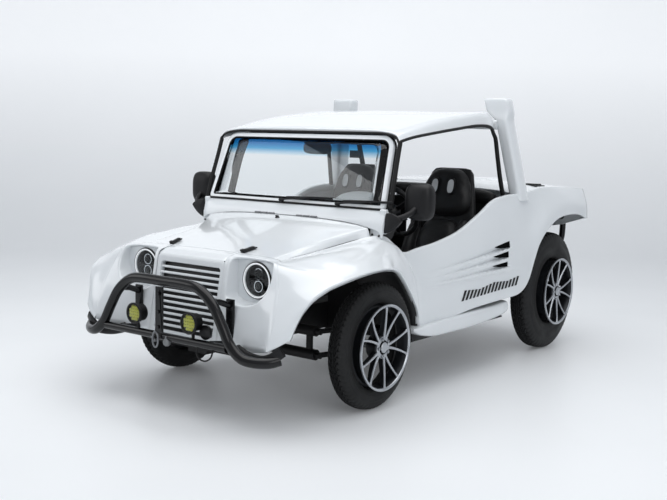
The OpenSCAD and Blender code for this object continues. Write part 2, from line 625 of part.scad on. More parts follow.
// ---- Cabin ----
seat_x = 345;
seat_y = 860;
module seat() {
    translate([px(seat_x), sy(seat_y), 0]) color(black) {
        // cushion and its base
        translate([-230, -300, 300]) cube([460, 470, 110]);
        translate([-180, -250, 276.3]) cube([360, 400, 23.7]);
        // backrest leaning back, with the head piece
        translate([0, 170 + fit, 352]) rotate([-14, 0, 0]) {
            translate([-235, 0, 0]) cube([470, 90, 560]);
            translate([-140, 0, 560.3]) cube([280, 80, 290]);
        }
    }
}
module seat_left() { at_axle() seat(); }
module seat_right() { at_axle() mirror([1, 0, 0]) seat(); }
bench_h = 98;
module rear_bench() {
    at_axle() color(black) translate([-px(600), sy(1475) - 0.9 - 74, bulkhead_h + fit]) cube([2 * px(600), 74, bench_h]);
}
wheel_at = [360, 640, 960];
column_tilt = -62;
column_d = 36;
module on_column() { translate([px(wheel_at[0]), wheel_at[1], wheel_at[2]]) rotate([column_tilt, 0, 0]) children(); }
module steering_column() {
    at_axle() color(black) on_column() translate([0, 0, -400]) cylinder(d = column_d, h = 360, $fn = 32);
}
module steering_wheel() {
    at_axle() color(black) on_column() {
        rotate_extrude($fn = 64) translate([steering_wheel_d / 2 - 15, 0]) circle(d = 30, $fn = 24);
        translate([0, 0, -39]) cylinder(d = 60, h = 34, $fn = 48);
        for (a = [90, 210, 330]) rotate(a) translate([0, -18, -12]) cube([steering_wheel_d / 2 - 16, 36, 8]);
    }
}

// ---- Front axle, steering and wheels ----
front_hub_z = front_tyre_d / 2;
rear_hub_z = rear_tyre_d / 2;
front_centre_x = front_face_x - 95;
rear_centre_x = rear_face_x - 122;
spindle_d = 34;
beam_x = 440;
arm_z = 62;
king_h = 120;
ear_t = 14;
module front_axle() {
    at_axle() color([0.15, 0.15, 0.16]) translate([0, 0, front_hub_z]) {
        for (z = [-arm_z, arm_z]) translate([-beam_x, beam_y, z]) rotate([0, 90, 0]) cylinder(d = beam_d, h = 2 * beam_x, $fn = 32);
        left_right() {
            box([beam_x - 60, beam_y - 10, -arm_z], [beam_x - 30, beam_y + 10, arm_z]);
            // trailing arms back to the carrier, and the two ears that hold the king pin
            for (z = [-arm_z, arm_z]) {
                translate([beam_x - 1, beam_y, z]) rotate([0, 90, 0]) cylinder(d = 34, h = 30, $fn = 32);
                rod([beam_x + 14, beam_y, z], [beam_x + 60, 0, z], 28);
            }
            translate([beam_x + 60, 0, -king_h / 2 - ear_t]) cylinder(d = 36, h = king_h + 2 * ear_t, $fn = 32);
            for (z = [-king_h / 2 - ear_t - fit, king_h / 2 + fit])
                box([beam_x + 60, -17, z], [kingpin_x + 22, 17, z + ear_t]);
        }
    }
}
module knuckle() {
    // king pin barrel between the ears, and the stub axle that the wheel turns on
    translate([kingpin_x, 0, front_hub_z]) {
        translate([0, 0, -king_h / 2]) cylinder(d = 44, h = king_h, $fn = 48);
        rotate([0, 90, 0]) cylinder(d = spindle_d, h = front_face_x - kingpin_x - 33, $fn = 48);
    }
}
module knuckle_left() { at_axle() color(steel) knuckle(); }
module knuckle_right() { at_axle() color(steel) mirror([1, 0, 0]) knuckle(); }
module tyre(d, w) {
    rotate([0, 90, 0]) rotate_extrude($fn = 96) polygon([[rim_d / 2 + 0.3, -w / 2 + 14], [rim_d / 2 + 14, -w / 2 + 4],
        [(rim_d + d) / 4, -w / 2], [d / 2 - 26, -w / 2 + 5], [d / 2 - 8, -w / 2 + 17], [d / 2, -w / 2 + 38], [d / 2, w / 2 - 38],
        [d / 2 - 8, w / 2 - 17], [d / 2 - 26, w / 2 - 5], [(rim_d + d) / 4, w / 2], [rim_d / 2 + 14, w / 2 - 4], [rim_d / 2 + 0.3, w / 2 - 14]]);
}
// Rim about X with its outer face at x = 0
module rim(w) {
    depth = w - 16;
    rotate([0, 90, 0]) rotate_extrude($fn = 96) polygon([[rim_d / 2, 0], [rim_d / 2, -14], [rim_d / 2 - 16, -22], [rim_d / 2 - 20, -depth + 22],
        [rim_d / 2, -depth + 14], [rim_d / 2, -depth], [rim_d / 2 - 14, -depth], [rim_d / 2 - 28, -depth + 22], [rim_d / 2 - 26, -24],
        [rim_d / 2 - 14, -8], [rim_d / 2 - 14, 0]]);
    for (k = [0:spoke_pairs - 1], s = [-1, 1]) rotate([360 / spoke_pairs * k + 18 * s, 0, 0])
        translate([-34, -9, 40]) cube([26, 18, rim_d / 2 - 40 - 18]);
    difference() {
        translate([-80, 0, 0]) rotate([0, 90, 0]) cylinder(d = 130, h = 68, $fn = 64);
        translate([-81, 0, 0]) rotate([0, 90, 0]) cylinder(d = spindle_d + 2 * bearing_gap, h = 60, $fn = 48);
    }
}
module front_place() { translate([front_centre_x, 0, front_hub_z]) children(); }
module rear_place() { translate([rear_centre_x, wheelbase, rear_hub_z]) children(); }
module front_rim_place() { translate([front_face_x, 0, front_hub_z]) children(); }
module rear_rim_place() { translate([rear_face_x, wheelbase, rear_hub_z]) children(); }
module tyre_front_left() { at_axle() color(black) front_place() tyre(front_tyre_d, front_tyre_w); }
module tyre_front_right() { at_axle() color(black) mirror([1, 0, 0]) front_place() tyre(front_tyre_d, front_tyre_w); }
module tyre_rear_left() { at_axle() color(black) rear_place() tyre(rear_tyre_d, rear_tyre_w); }
module tyre_rear_right() { at_axle() color(black) mirror([1, 0, 0]) rear_place() tyre(rear_tyre_d, rear_tyre_w); }
module rim_front_left() { at_axle() color(steel) front_rim_place() rim(front_tyre_w); }
module rim_front_right() { at_axle() color(steel) mirror([1, 0, 0]) front_rim_place() rim(front_tyre_w); }
module rim_rear_left() { at_axle() color(steel) rear_rim_place() rim(rear_tyre_w); }
module rim_rear_right() { at_axle() color(steel) mirror([1, 0, 0]) rear_rim_place() rim(rear_tyre_w); }

// ---- Rear ----
module rear_axle() {
    at_axle() color([0.15, 0.15, 0.16]) {
        left_right() {
            translate([100, wheelbase, rear_hub_z]) rotate([0, 90, 0]) cylinder(d = 70, h = 430, $fn = 32);
            translate([529, wheelbase, rear_hub_z]) rotate([0, 90, 0]) cylinder(d = spindle_d, h = rear_face_x - 529 - 32, $fn = 48);
        }
        translate([-100, wheelbase - 200, rear_hub_z - 110]) cube([200, 300, 220]);
    }
}
module engine() {
    at_axle() color([0.3, 0.3, 0.32]) translate([-350, wheelbase + 100.3, 300]) cube([700, 200, 330]);
}
module exhaust() {
    at_axle() color(steel) {
        translate([-260, wheelbase + 356, 330]) rotate([0, 90, 0]) cylinder(d = 110, h = 520, $fn = 40);
        for (x = [-150, 150]) translate([x, wheelbase + 300.6, 330]) rotate([-90, 0, 0]) cylinder(d = 46, h = 20, $fn = 32);
        for (x = [-150, 150]) translate([x, wheelbase + 356, 220]) cylinder(d = 46, h = 60, $fn = 32);
    }
}
module side_steps() {
    at_axle() color(white) left_right() moulded() hull() {
        box([px(floor_half) + fit, sy(420), 316], [px(742), sy(430), 352]);
        box([px(floor_half) + fit, sy(520), 300], [px(746), sy(530), 366]);
        box([px(floor_half) + fit, sy(1200), 302], [px(750), sy(1210), 388]);
        box([px(floor_half) + fit, sy(1350), 326], [px(744), sy(1360), 390]);
    }
}
rear_bar_d = 44;
rear_bar_y = wheelbase + rear_overhang - rear_bar_d / 2;
rear_bar_z = 640;
module rear_bumper() {
    at_axle() color(black) {
        rod([-px(560), rear_bar_y, rear_bar_z], [px(560), rear_bar_y, rear_bar_z], rear_bar_d);
        left_right() {
            box([px(400), sy(2300), rear_bar_z - 20], [px(440), rear_bar_y - rear_bar_d / 2 - 0.3, rear_bar_z + 20]);
            box([px(400), sy(bulkhead_y) + 8 + fit, rear_bar_z - 20], [px(440), sy(2300) - fit, rear_bar_z + 20]);
        }
    }
}
lamp_d = 100;
lamp_deep = 40;
module lamp_place() { translate([px(640), sy(2366), 930]) rotate([-90, 0, 0]) children(); }
module tail_lamps() {
    at_axle() color("darkred") left_right() lamp_place() cylinder(d = lamp_d, h = lamp_deep, $fn = 48);
}
plate_w = 400;
plate_h = 130;
plate_hole_d = 7;
plate_pitch = 300;
plate_y = 2400;
plate_z = 900;
plate_t3 = 3;
module number_plate() {
    at_axle() color(white) translate([0, sy(plate_y), plate_z]) rotate([90, 0, 0]) difference() {
        translate([-plate_w / 2, -plate_h / 2, 0]) cube([plate_w, plate_h, plate_t3]);
        for (s = [-1, 1]) translate([s * plate_pitch / 2, 0, -1]) cylinder(d = plate_hole_d, h = plate_t3 + 2, $fn = 32);
    }
}

chassis();
front_wing_left();
front_wing_right();
nose();
grille();
hood();
cowl();
boot_tray();
dashboard();
side_panel_left();
side_panel_right();
rear_wing_left();
rear_wing_right();
rear_deck();
engine_lid();
windscreen_frame();
windscreen_glass();
hard_top();
roll_hoop();
roll_cage();
headlamps();
bull_bar();
tow_bracket();
fog_lamps();
hood_latches();
wipers();
interior_mirror();
door_mirrors();
seat_left();
seat_right();
rear_bench();
steering_column();
steering_wheel();
front_axle();
knuckle_left();
knuckle_right();
tyre_front_left();
tyre_front_right();
tyre_rear_left();
tyre_rear_right();
rim_front_left();
rim_front_right();
rim_rear_left();
rim_rear_right();
rear_axle();
engine();
exhaust();
side_steps();
rear_bumper();
tail_lamps();
number_plate();
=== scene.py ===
"""Looks of a two-seat dune buggy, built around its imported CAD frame.

Shapes are drawn in millimetres with the front axle at Y = 0, as the CAD is, and put into the frame's metres at the end.
"""

import json
import logging
import math
from dataclasses import dataclass, field
from enum import Enum
from typing import Callable, Optional, Sequence

import bmesh
import bpy
import numpy as np
from mathutils import Matrix, Vector

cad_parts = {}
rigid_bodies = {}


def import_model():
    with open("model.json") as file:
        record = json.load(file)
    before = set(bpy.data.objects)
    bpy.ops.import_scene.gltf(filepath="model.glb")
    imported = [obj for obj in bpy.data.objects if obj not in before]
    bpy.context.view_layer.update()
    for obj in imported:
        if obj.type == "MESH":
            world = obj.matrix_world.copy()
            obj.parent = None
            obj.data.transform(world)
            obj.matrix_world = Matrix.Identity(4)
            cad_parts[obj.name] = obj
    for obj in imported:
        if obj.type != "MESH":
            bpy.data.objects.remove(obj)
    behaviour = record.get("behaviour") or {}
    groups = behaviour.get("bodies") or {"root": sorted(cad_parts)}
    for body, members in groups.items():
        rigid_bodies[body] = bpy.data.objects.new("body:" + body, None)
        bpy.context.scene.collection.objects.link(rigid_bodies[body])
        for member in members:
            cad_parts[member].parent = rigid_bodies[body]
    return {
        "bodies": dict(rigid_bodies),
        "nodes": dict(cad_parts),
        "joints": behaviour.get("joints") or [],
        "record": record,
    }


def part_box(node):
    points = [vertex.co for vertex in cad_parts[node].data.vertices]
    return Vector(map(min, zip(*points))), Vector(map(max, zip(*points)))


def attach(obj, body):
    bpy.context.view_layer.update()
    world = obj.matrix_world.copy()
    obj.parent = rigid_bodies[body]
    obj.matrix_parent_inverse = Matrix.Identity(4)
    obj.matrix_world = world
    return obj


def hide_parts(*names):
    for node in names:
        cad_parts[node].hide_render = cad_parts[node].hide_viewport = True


LOG = logging.getLogger("dune_buggy")
MM = 0.001
Array = np.ndarray
Net = Sequence[Sequence[Sequence[float]]]


# ---------------------------------------------------------------- surfaces worked out with numpy


def curve(points: Array, steps: int) -> Array:
    """Catmull-Rom curve through points along axis 0, with straight run-outs.

    Between b and c, with neighbours a and d, it is
    b + t/2 * (c - a + t * (2a - 5b + 4c - d + t * (3(b - c) + d - a))).

    Args:
        points: rows of points, of any further shape.
        steps: steps in each span.
    Returns:
        (len(points) - 1) * steps + 1 rows.
    """
    p = np.asarray(points, float)
    q = np.concatenate([[2 * p[0] - p[1]], p, [2 * p[-1] - p[-2]]])
    i = np.arange((len(p) - 1) * steps + 1)
    k = np.minimum(i // steps, len(p) - 2)
    t = (i / steps - k).reshape((-1,) + (1,) * (p.ndim - 1))
    a, b, c, d = q[k], q[k + 1], q[k + 2], q[k + 3]
    return b + 0.5 * t * (c - a + t * (2 * a - 5 * b + 4 * c - d + t * (3 * (b - c) + d - a)))


def closed_curve(points: Array, steps: int) -> Array:
    """Catmull-Rom curve through a closed ring of points, without the repeated last one."""
    p = np.asarray(points, float)
    ring = curve(np.concatenate([p[-2:], p, p[:2]]), steps)
    return ring[2 * steps : (len(p) + 2) * steps]


def skin(net: Net, across: int, along: int) -> Array:
    """Smooth surface through a net: a curve down each column, then across each row."""
    rows = curve(np.asarray(net, float), along)
    return np.swapaxes(curve(np.swapaxes(rows, 0, 1), across), 0, 1)


def unit(v: Array) -> Array:
    """Vectors along the last axis scaled to length 1."""
    return v / np.maximum(np.linalg.norm(v, axis=-1, keepdims=True), 1e-9)


def normals(grid: Array) -> Array:
    """Outward normals of a grid: the step across a row crossed with the step down a column."""
    return unit(np.cross(np.gradient(grid, axis=1), np.gradient(grid, axis=0)))


def resampled(path: Array, count: int) -> Array:
    """A polyline's points at equal distances along it."""
    p = np.asarray(path, float)
    s = np.concatenate([[0], np.cumsum(np.linalg.norm(np.diff(p, axis=0), axis=1))])
    at = np.linspace(0, s[-1], count)
    return np.stack([np.interp(at, s, p[:, k]) for k in range(p.shape[1])], axis=1)


def frames(path: Array, up: Optional[Sequence[float]] = None, closed: bool = False) -> tuple[Array, Array]:
    """Two side vectors at each point of a path, square to it.

    Args:
        path: points.
        up: a direction that the second side stays near, or None to carry a side along without twist.
        closed: whether the last point joins the first.
    Returns:
        side and second side, so that side x second side points along the path.
    """
    t = unit(np.roll(path, -1, 0) - np.roll(path, 1, 0)) if closed else unit(np.gradient(path, axis=0))
    if up is not None:
        u = unit(np.cross(np.broadcast_to(np.asarray(up, float), t.shape), t))
        return u, np.cross(t, u)
    side = np.array([1.0, 0, 0]) if abs(t[0, 0]) < 0.9 else np.array([0, 1.0, 0])
    u = np.empty_like(t)
    for i, along in enumerate(t):
        side = unit(side - (side @ along) * along)
        u[i] = side
    return u, np.cross(t, u)


def superellipse(w: float, h: float, n: int, power: float = 4.0) -> Array:
    """Outline |x/w|^p + |y/h|^p = 1 of half sizes w and h as n points."""
    a = np.arange(n) / n * 2 * math.pi
    c, s = np.cos(a), np.sin(a)
    return np.stack([w * np.sign(c) * np.abs(c) ** (2 / power), h * np.sign(s) * np.abs(s) ** (2 / power)], axis=1)


def stations(outline: Array, centre: Sequence[float], steps: Sequence[tuple[float, float]]) -> Array:
    """Copies of a flat outline of (X, Z), one for each step along Y.

    Args:
        outline: points about the outline's middle.
        centre: where that middle lies.
        steps: offset along Y and scale of each copy.
    Returns:
        One ring for each step.
    """
    depth, scale = np.asarray(steps, float).T
    x, z = outline[None, :, 0] * scale[:, None], outline[None, :, 1] * scale[:, None]
    return np.asarray(centre, float) + np.stack(np.broadcast_arrays(x, depth[:, None], z), -1)


@dataclass
class Shape:
    """A mesh in the making: vertices in millimetres, and faces with a material slot each."""

    verts: list = field(default_factory=list)
    faces: list = field(default_factory=list)
    slots: list = field(default_factory=list)
    count: int = 0

    def add(self, verts: Array, faces: Array, slot: int | Array = 0) -> "Shape":
        """Adds vertices and the faces between them, given by their place in verts."""
        faces = np.asarray(faces)
        self.verts.append(np.asarray(verts, float).reshape(-1, 3))
        self.faces.append(faces + self.count)
        self.slots.append(np.broadcast_to(slot, len(faces)).astype(np.int32))
        self.count += len(self.verts[-1])
        return self

    def grid(self, g: Array, slot: int | Array = 0, wrap: bool = False, flip: bool = False) -> "Shape":
        """Adds a grid's quads. Their normal is the step across a row crossed with the step down a column.

        Args:
            g: rows by columns by 3.
            slot: material slot, or one for each quad.
            wrap: whether the last column joins the first.
            flip: whether the faces look the other way.
        """
        n, m = g.shape[:2]
        i, j = np.meshgrid(np.arange(n - 1), np.arange(m if wrap else m - 1), indexing="ij")
        k = (j + 1) % m
        quads = np.stack([i * m + j, i * m + k, (i + 1) * m + k, (i + 1) * m + j], -1).reshape(-1, 4)
        return self.add(g, quads[:, ::-1] if flip else quads, slot if np.isscalar(slot) else np.ravel(slot))

    def loft(self, rings: Array, slot: int = 0, caps: bool = True, flip: bool = False) -> "Shape":
        """Adds a tube of closed rings, each end closed by a fan to its middle."""
        self.grid(rings, slot, wrap=True, flip=flip)
        if caps:
            for ring, turned in ((rings[0], flip), (rings[-1], not flip)):
                m = len(ring)
                k = np.arange(m)
                fan = np.stack([k, (k + 1) % m, np.full(m, m)], -1)
                self.add(np.vstack([ring, ring.mean(0)]), fan[:, ::-1] if not turned else fan, slot)
        return self

    def tube(self, path: Array, radius: float | Array, sides: int = 16, slot: int = 0, caps: bool = True,
             closed: bool = False) -> "Shape":
        """Adds a round tube along a path: each ring is radius * (cos a * side + sin a * second side).

        Args:
            path: points.
            radius: one radius, or one at each point.
            sides: corners of each ring.
            slot: material slot.
            caps: whether the ends are closed.
            closed: whether the last point joins the first.
        Returns:
            This shape.
        """
        path = np.asarray(path, float)
        u, w = frames(path, closed=closed)
        a = np.arange(sides) / sides * 2 * math.pi
        r = np.broadcast_to(np.asarray(radius, float), len(path))[:, None, None]
        rings = path[:, None] + r * (np.cos(a)[:, None] * u[:, None] + np.sin(a)[:, None] * w[:, None])
        if closed:
            return self.grid(np.concatenate([rings, rings[:1]]), slot, wrap=True)
        return self.loft(rings, slot, caps)

    def sweep(self, path: Array, profile: Array, up: Sequence[float], slot: int = 0, closed: bool = False,
              caps: bool = True) -> "Shape":
        """Adds a profile (side, up) carried along a path, with its second axis kept near up."""
        u, w = frames(np.asarray(path, float), up, closed)
        rings = path[:, None] + profile[None, :, :1] * u[:, None] + profile[None, :, 1:] * w[:, None]
        if closed:
            return self.grid(np.concatenate([rings, rings[:1]]), slot, wrap=True)
        return self.loft(rings, slot, caps)

    def turned(self, profile: Array, centre: Sequence[float], axis: Sequence[float] = (1, 0, 0), sides: int = 48,
               slot: int | Array = 0) -> "Shape":
        """Adds a profile of (along the axis, radius) turned round an axis through centre.

        The outer side of the profile runs towards larger values along the axis.

        Args:
            profile: points of (along the axis, radius).
            centre: a point on the axis.
            axis: its direction.
            sides: corners of each ring.
            slot: material slot, or one for each step of the profile.
        Returns:
            This shape.
        """
        profile = np.asarray(profile, float)
        t = unit(np.asarray(axis, float))
        u = unit(np.cross(t, [0, 0, 1.0] if abs(t[2]) < 0.9 else [0, 1.0, 0]))
        w = np.cross(t, u)
        a = np.arange(sides) / sides * 2 * math.pi
        spokes = np.cos(a)[:, None] * u + np.sin(a)[:, None] * w
        g = np.asarray(centre, float) + profile[:, :1, None] * t + profile[:, 1:, None] * spokes[None]
        slots = slot if np.isscalar(slot) else np.repeat(np.asarray(slot), sides)
        return self.grid(g, slots, wrap=True)

    def block(self, lo: Sequence[float], hi: Sequence[float], r: float, slot: int = 0, cuts: int = 3,
              place: Optional[Callable[[Array], Array]] = None) -> "Shape":
        """Adds a box with rounded edges.

        Each point of a fine box is moved to the inner box, smaller by r all round, plus r along its own
        direction from there. place then moves the points, if it is given.

        Args:
            lo: lowest corner.
            hi: highest corner.
            r: radius of the edges.
            slot: material slot.
            cuts: steps round each edge.
            place: moves the points.
        Returns:
            This shape.
        """
        lo, hi = np.asarray(lo, float), np.asarray(hi, float)
        mid, half = (lo + hi) / 2, (hi - lo) / 2
        r = min(r, half.min() * 0.98)
        edge = 1 - np.tan(np.linspace(math.pi / 4, 0, cuts + 1))
        for axis in range(3):
            b, c = (axis + 1) % 3, (axis + 2) % 3
            lines = [np.concatenate([-half[k] + r * edge, half[k] - r * edge[::-1]]) for k in (b, c)]
            for side in (-1, 1):
                p = np.zeros((len(lines[0]), len(lines[1]), 3))
                p[..., axis] = side * half[axis]
                p[..., b], p[..., c] = np.meshgrid(*lines, indexing="ij")
                inner = np.clip(p, -(half - r), half - r)
                q = mid + inner + r * unit(p - inner)
                self.grid(q if place is None else place(q), slot, flip=side > 0)
        return self

    def mirrored(self) -> "Shape":
        """This shape and its mirror image across the middle of the car."""
        both = Shape(list(self.verts), list(self.faces), list(self.slots), self.count)
        for v, f, s in zip(self.verts, self.faces, self.slots):
            both.verts.append(v * [-1, 1, 1])
            both.faces.append(f[:, ::-1] + self.count)
            both.slots.append(s)
        both.count += self.count
        return both

    def flipped(self) -> "Shape":
        """The mirror image alone."""
        return Shape([v * [-1, 1, 1] for v in self.verts], [f[:, ::-1] for f in self.faces], list(self.slots),
                     self.count)

    def join(self, other: "Shape") -> "Shape":
        """Adds another shape to this one."""
        self.faces += [f + self.count for f in other.faces]
        self.verts += other.verts
        self.slots += other.slots
        self.count += other.count
        return self


@dataclass
class Workshop:
    """Turns shapes into Blender objects that ride on the CAD's bodies."""

    axle_y: float = 0.0
    made: dict = field(default_factory=dict)

    def place(self, p: Array) -> Array:
        """Drawing millimetres to the frame's metres."""
        return (np.asarray(p, float) + [0, self.axle_y, 0]) * MM

    def piece(self, name: str, shape: Shape, finishes: Sequence[bpy.types.Material], body: str = "car",
              stands_for: Sequence[str] = (), weld: float = 0.01,
              sharp: float = 38.0, thick: float = 0.0, bevel: float = 0.0) -> bpy.types.Object:
        """Makes a mesh object from a shape.

        Args:
            name: the piece's name.
            shape: its mesh, in drawing millimetres.
            finishes: a material for each slot of the shape.
            body: the CAD body that it rides on.
            stands_for: CAD nodes that it replaces.
            weld: vertices nearer than this many millimetres become one.
            sharp: edges over this angle are not shaded smooth, in degrees.
            thick: wall added inside a single skin, in millimetres.
            bevel: width of a bevel on sharp edges, in millimetres.
        Returns:
            The new object.
        """
        verts = self.place(np.vstack(shape.verts))
        sizes = np.concatenate([np.full(len(f), f.shape[1]) for f in shape.faces])
        loops = np.concatenate([f.ravel() for f in shape.faces])
        mesh = bpy.data.meshes.new(name)
        mesh.vertices.add(len(verts))
        mesh.vertices.foreach_set("co", verts.astype(np.float32).ravel())
        mesh.loops.add(len(loops))
        mesh.loops.foreach_set("vertex_index", loops.astype(np.int32))
        mesh.polygons.add(len(sizes))
        mesh.polygons.foreach_set("loop_start", (np.cumsum(sizes) - sizes).astype(np.int32))
        mesh.polygons.foreach_set("material_index", np.concatenate(shape.slots))
        mesh.update(calc_edges=True)
        mesh.validate()
        work = bmesh.new()
        work.from_mesh(mesh)
        bmesh.ops.remove_doubles(work, verts=work.verts, dist=weld * MM)
        bmesh.ops.dissolve_degenerate(work, edges=work.edges, dist=1e-6)
        work.to_mesh(mesh)
        work.free()
        mesh.shade_smooth()
        mesh.set_sharp_from_angle(angle=math.radians(sharp))
        for finish in finishes:
            mesh.materials.append(finish)
        obj = bpy.data.objects.new(name, mesh)
        bpy.context.scene.collection.objects.link(obj)
        if thick:
            wall = obj.modifiers.new("wall", "SOLIDIFY")
            wall.thickness = thick * MM
            wall.offset = -1.0
            wall.use_even_offset = False
        if bevel:
            round_off = obj.modifiers.new("round_off", "BEVEL")
            round_off.width = bevel * MM
            round_off.segments = 2
            round_off.limit_method = "ANGLE"
            round_off.angle_limit = math.radians(50)
        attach(obj, body)
        if stands_for:
            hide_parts(*stands_for)
        self.made[name] = obj
        LOG.info("%s: %d vertices, rides on %s", name, len(mesh.vertices), body)
        return obj


# ---------------------------------------------------------------- finishes


def linear(code: str) -> tuple[float, float, float, float]:
    """An sRGB hex value as linear colour: ((c + 0.055) / 1.055) ** 2.4, or c / 12.92 near black."""
    parts = [int(code[k : k + 2], 16) / 255 for k in (1, 3, 5)]
    return (*[c / 12.92 if c <= 0.04045 else ((c + 0.055) / 1.055) ** 2.4 for c in parts], 1.0)


def add(tree: bpy.types.NodeTree, kind: str, settings: Optional[dict] = None, **links: object) -> bpy.types.Node:
    """Adds a node.

    Args:
        tree: the node tree.
        kind: the node's type without "ShaderNode".
        settings: its attributes, and its input sockets' values by name or number.
        links: input sockets, with _ for spaces, and the output socket that feeds each.
    Returns:
        The node.
    """
    node = tree.nodes.new("ShaderNode" + kind)
    for key, value in (settings or {}).items():
        if isinstance(key, str) and hasattr(node, key):
            setattr(node, key, value)
        else:
            node.inputs[key].default_value = value
    for key, socket in links.items():
        name = key.replace("_", " ")
        target = node.inputs[int(name[2:])] if name.startswith("in") and name[2:].isdigit() else node.inputs[name]
        tree.links.new(socket, target)
    return node


class Pattern(Enum):
    """The relief that a finish has."""

    ORANGE_PEEL = "long soft waves of a sprayed or moulded gloss coat"
    GRAIN = "pebbled grain of moulded plastic or vinyl"
    FINE = "fine even tooth of rubber or a satin coat"
    TURNED = "rings left by the lathe tool"
    CAST = "rough skin of sand casting"


@dataclass(frozen=True)
class Finish:
    """A surface: what it is made of, how it was made, and the values that give its look."""

    name: str
    colour: str
    second: str
    roughness: float
    worn: float
    pattern: Pattern
    size_mm: float
    relief_mm: float
    metallic: float = 0.0
    coat: float = 0.0
    ior: float = 1.5
    sheen: float = 0.0
    glow: float = 0.0
    clear: float = 0.0

    def build(self) -> bpy.types.Material:
        """The material: two close colours mixed by a soft noise, roughness that varies, and the relief as bump."""
        mat = bpy.data.materials.new(self.name)
        mat.use_nodes = True
        tree = mat.node_tree
        tree.nodes.clear()
        at = add(tree, "TexCoord").outputs["Object"]
        broad = add(tree, "TexNoise", {"Scale": 1 / (self.size_mm * 40 * MM), "Detail": 3.0}, Vector=at)
        tint = add(tree, "Mix", {"data_type": "RGBA", 6: linear(self.colour), 7: linear(self.second)},
                   in0=broad.outputs["Fac"])
        rough = add(tree, "MapRange", {"To Min": self.roughness, "To Max": self.worn, "From Min": 0.35,
                                       "From Max": 0.7},
                    Value=broad.outputs["Fac"])
        height = self.height(tree, at)
        bump = add(tree, "Bump", {"Strength": 1.0, "Distance": self.relief_mm * MM}, Height=height)
        shader = add(tree, "BsdfPrincipled",
                     {"Metallic": self.metallic, "Coat Weight": self.coat, "Coat Roughness": 0.04, "IOR": self.ior,
                      "Sheen Weight": self.sheen, "Emission Strength": self.glow, "Transmission Weight": self.clear,
                      "Emission Color": linear(self.colour)},
                     Base_Color=tint.outputs[2], Roughness=rough.outputs["Result"], Normal=bump.outputs["Normal"])
        tree.links.new(shader.outputs["BSDF"], add(tree, "OutputMaterial").inputs["Surface"])
        return mat

    def height(self, tree: bpy.types.NodeTree, at: bpy.types.NodeSocket) -> bpy.types.NodeSocket:
        """The relief's height, from 0 to 1, for this finish's pattern."""
        scale = 1 / (self.size_mm * MM)
        if self.pattern is Pattern.GRAIN:
            cells = add(tree, "TexVoronoi", {"feature": "SMOOTH_F1", "Scale": scale, "Smoothness": 0.6}, Vector=at)
            return cells.outputs["Distance"]
        if self.pattern is Pattern.TURNED:
            return add(tree, "TexNoise", {"Scale": scale, "Detail": 1.0}, Vector=at).outputs["Fac"]
        detail = {Pattern.ORANGE_PEEL: 1.0, Pattern.FINE: 4.0, Pattern.CAST: 6.0}[self.pattern]
        return add(tree, "TexNoise", {"Scale": scale, "Detail": detail}, Vector=at).outputs["Fac"]


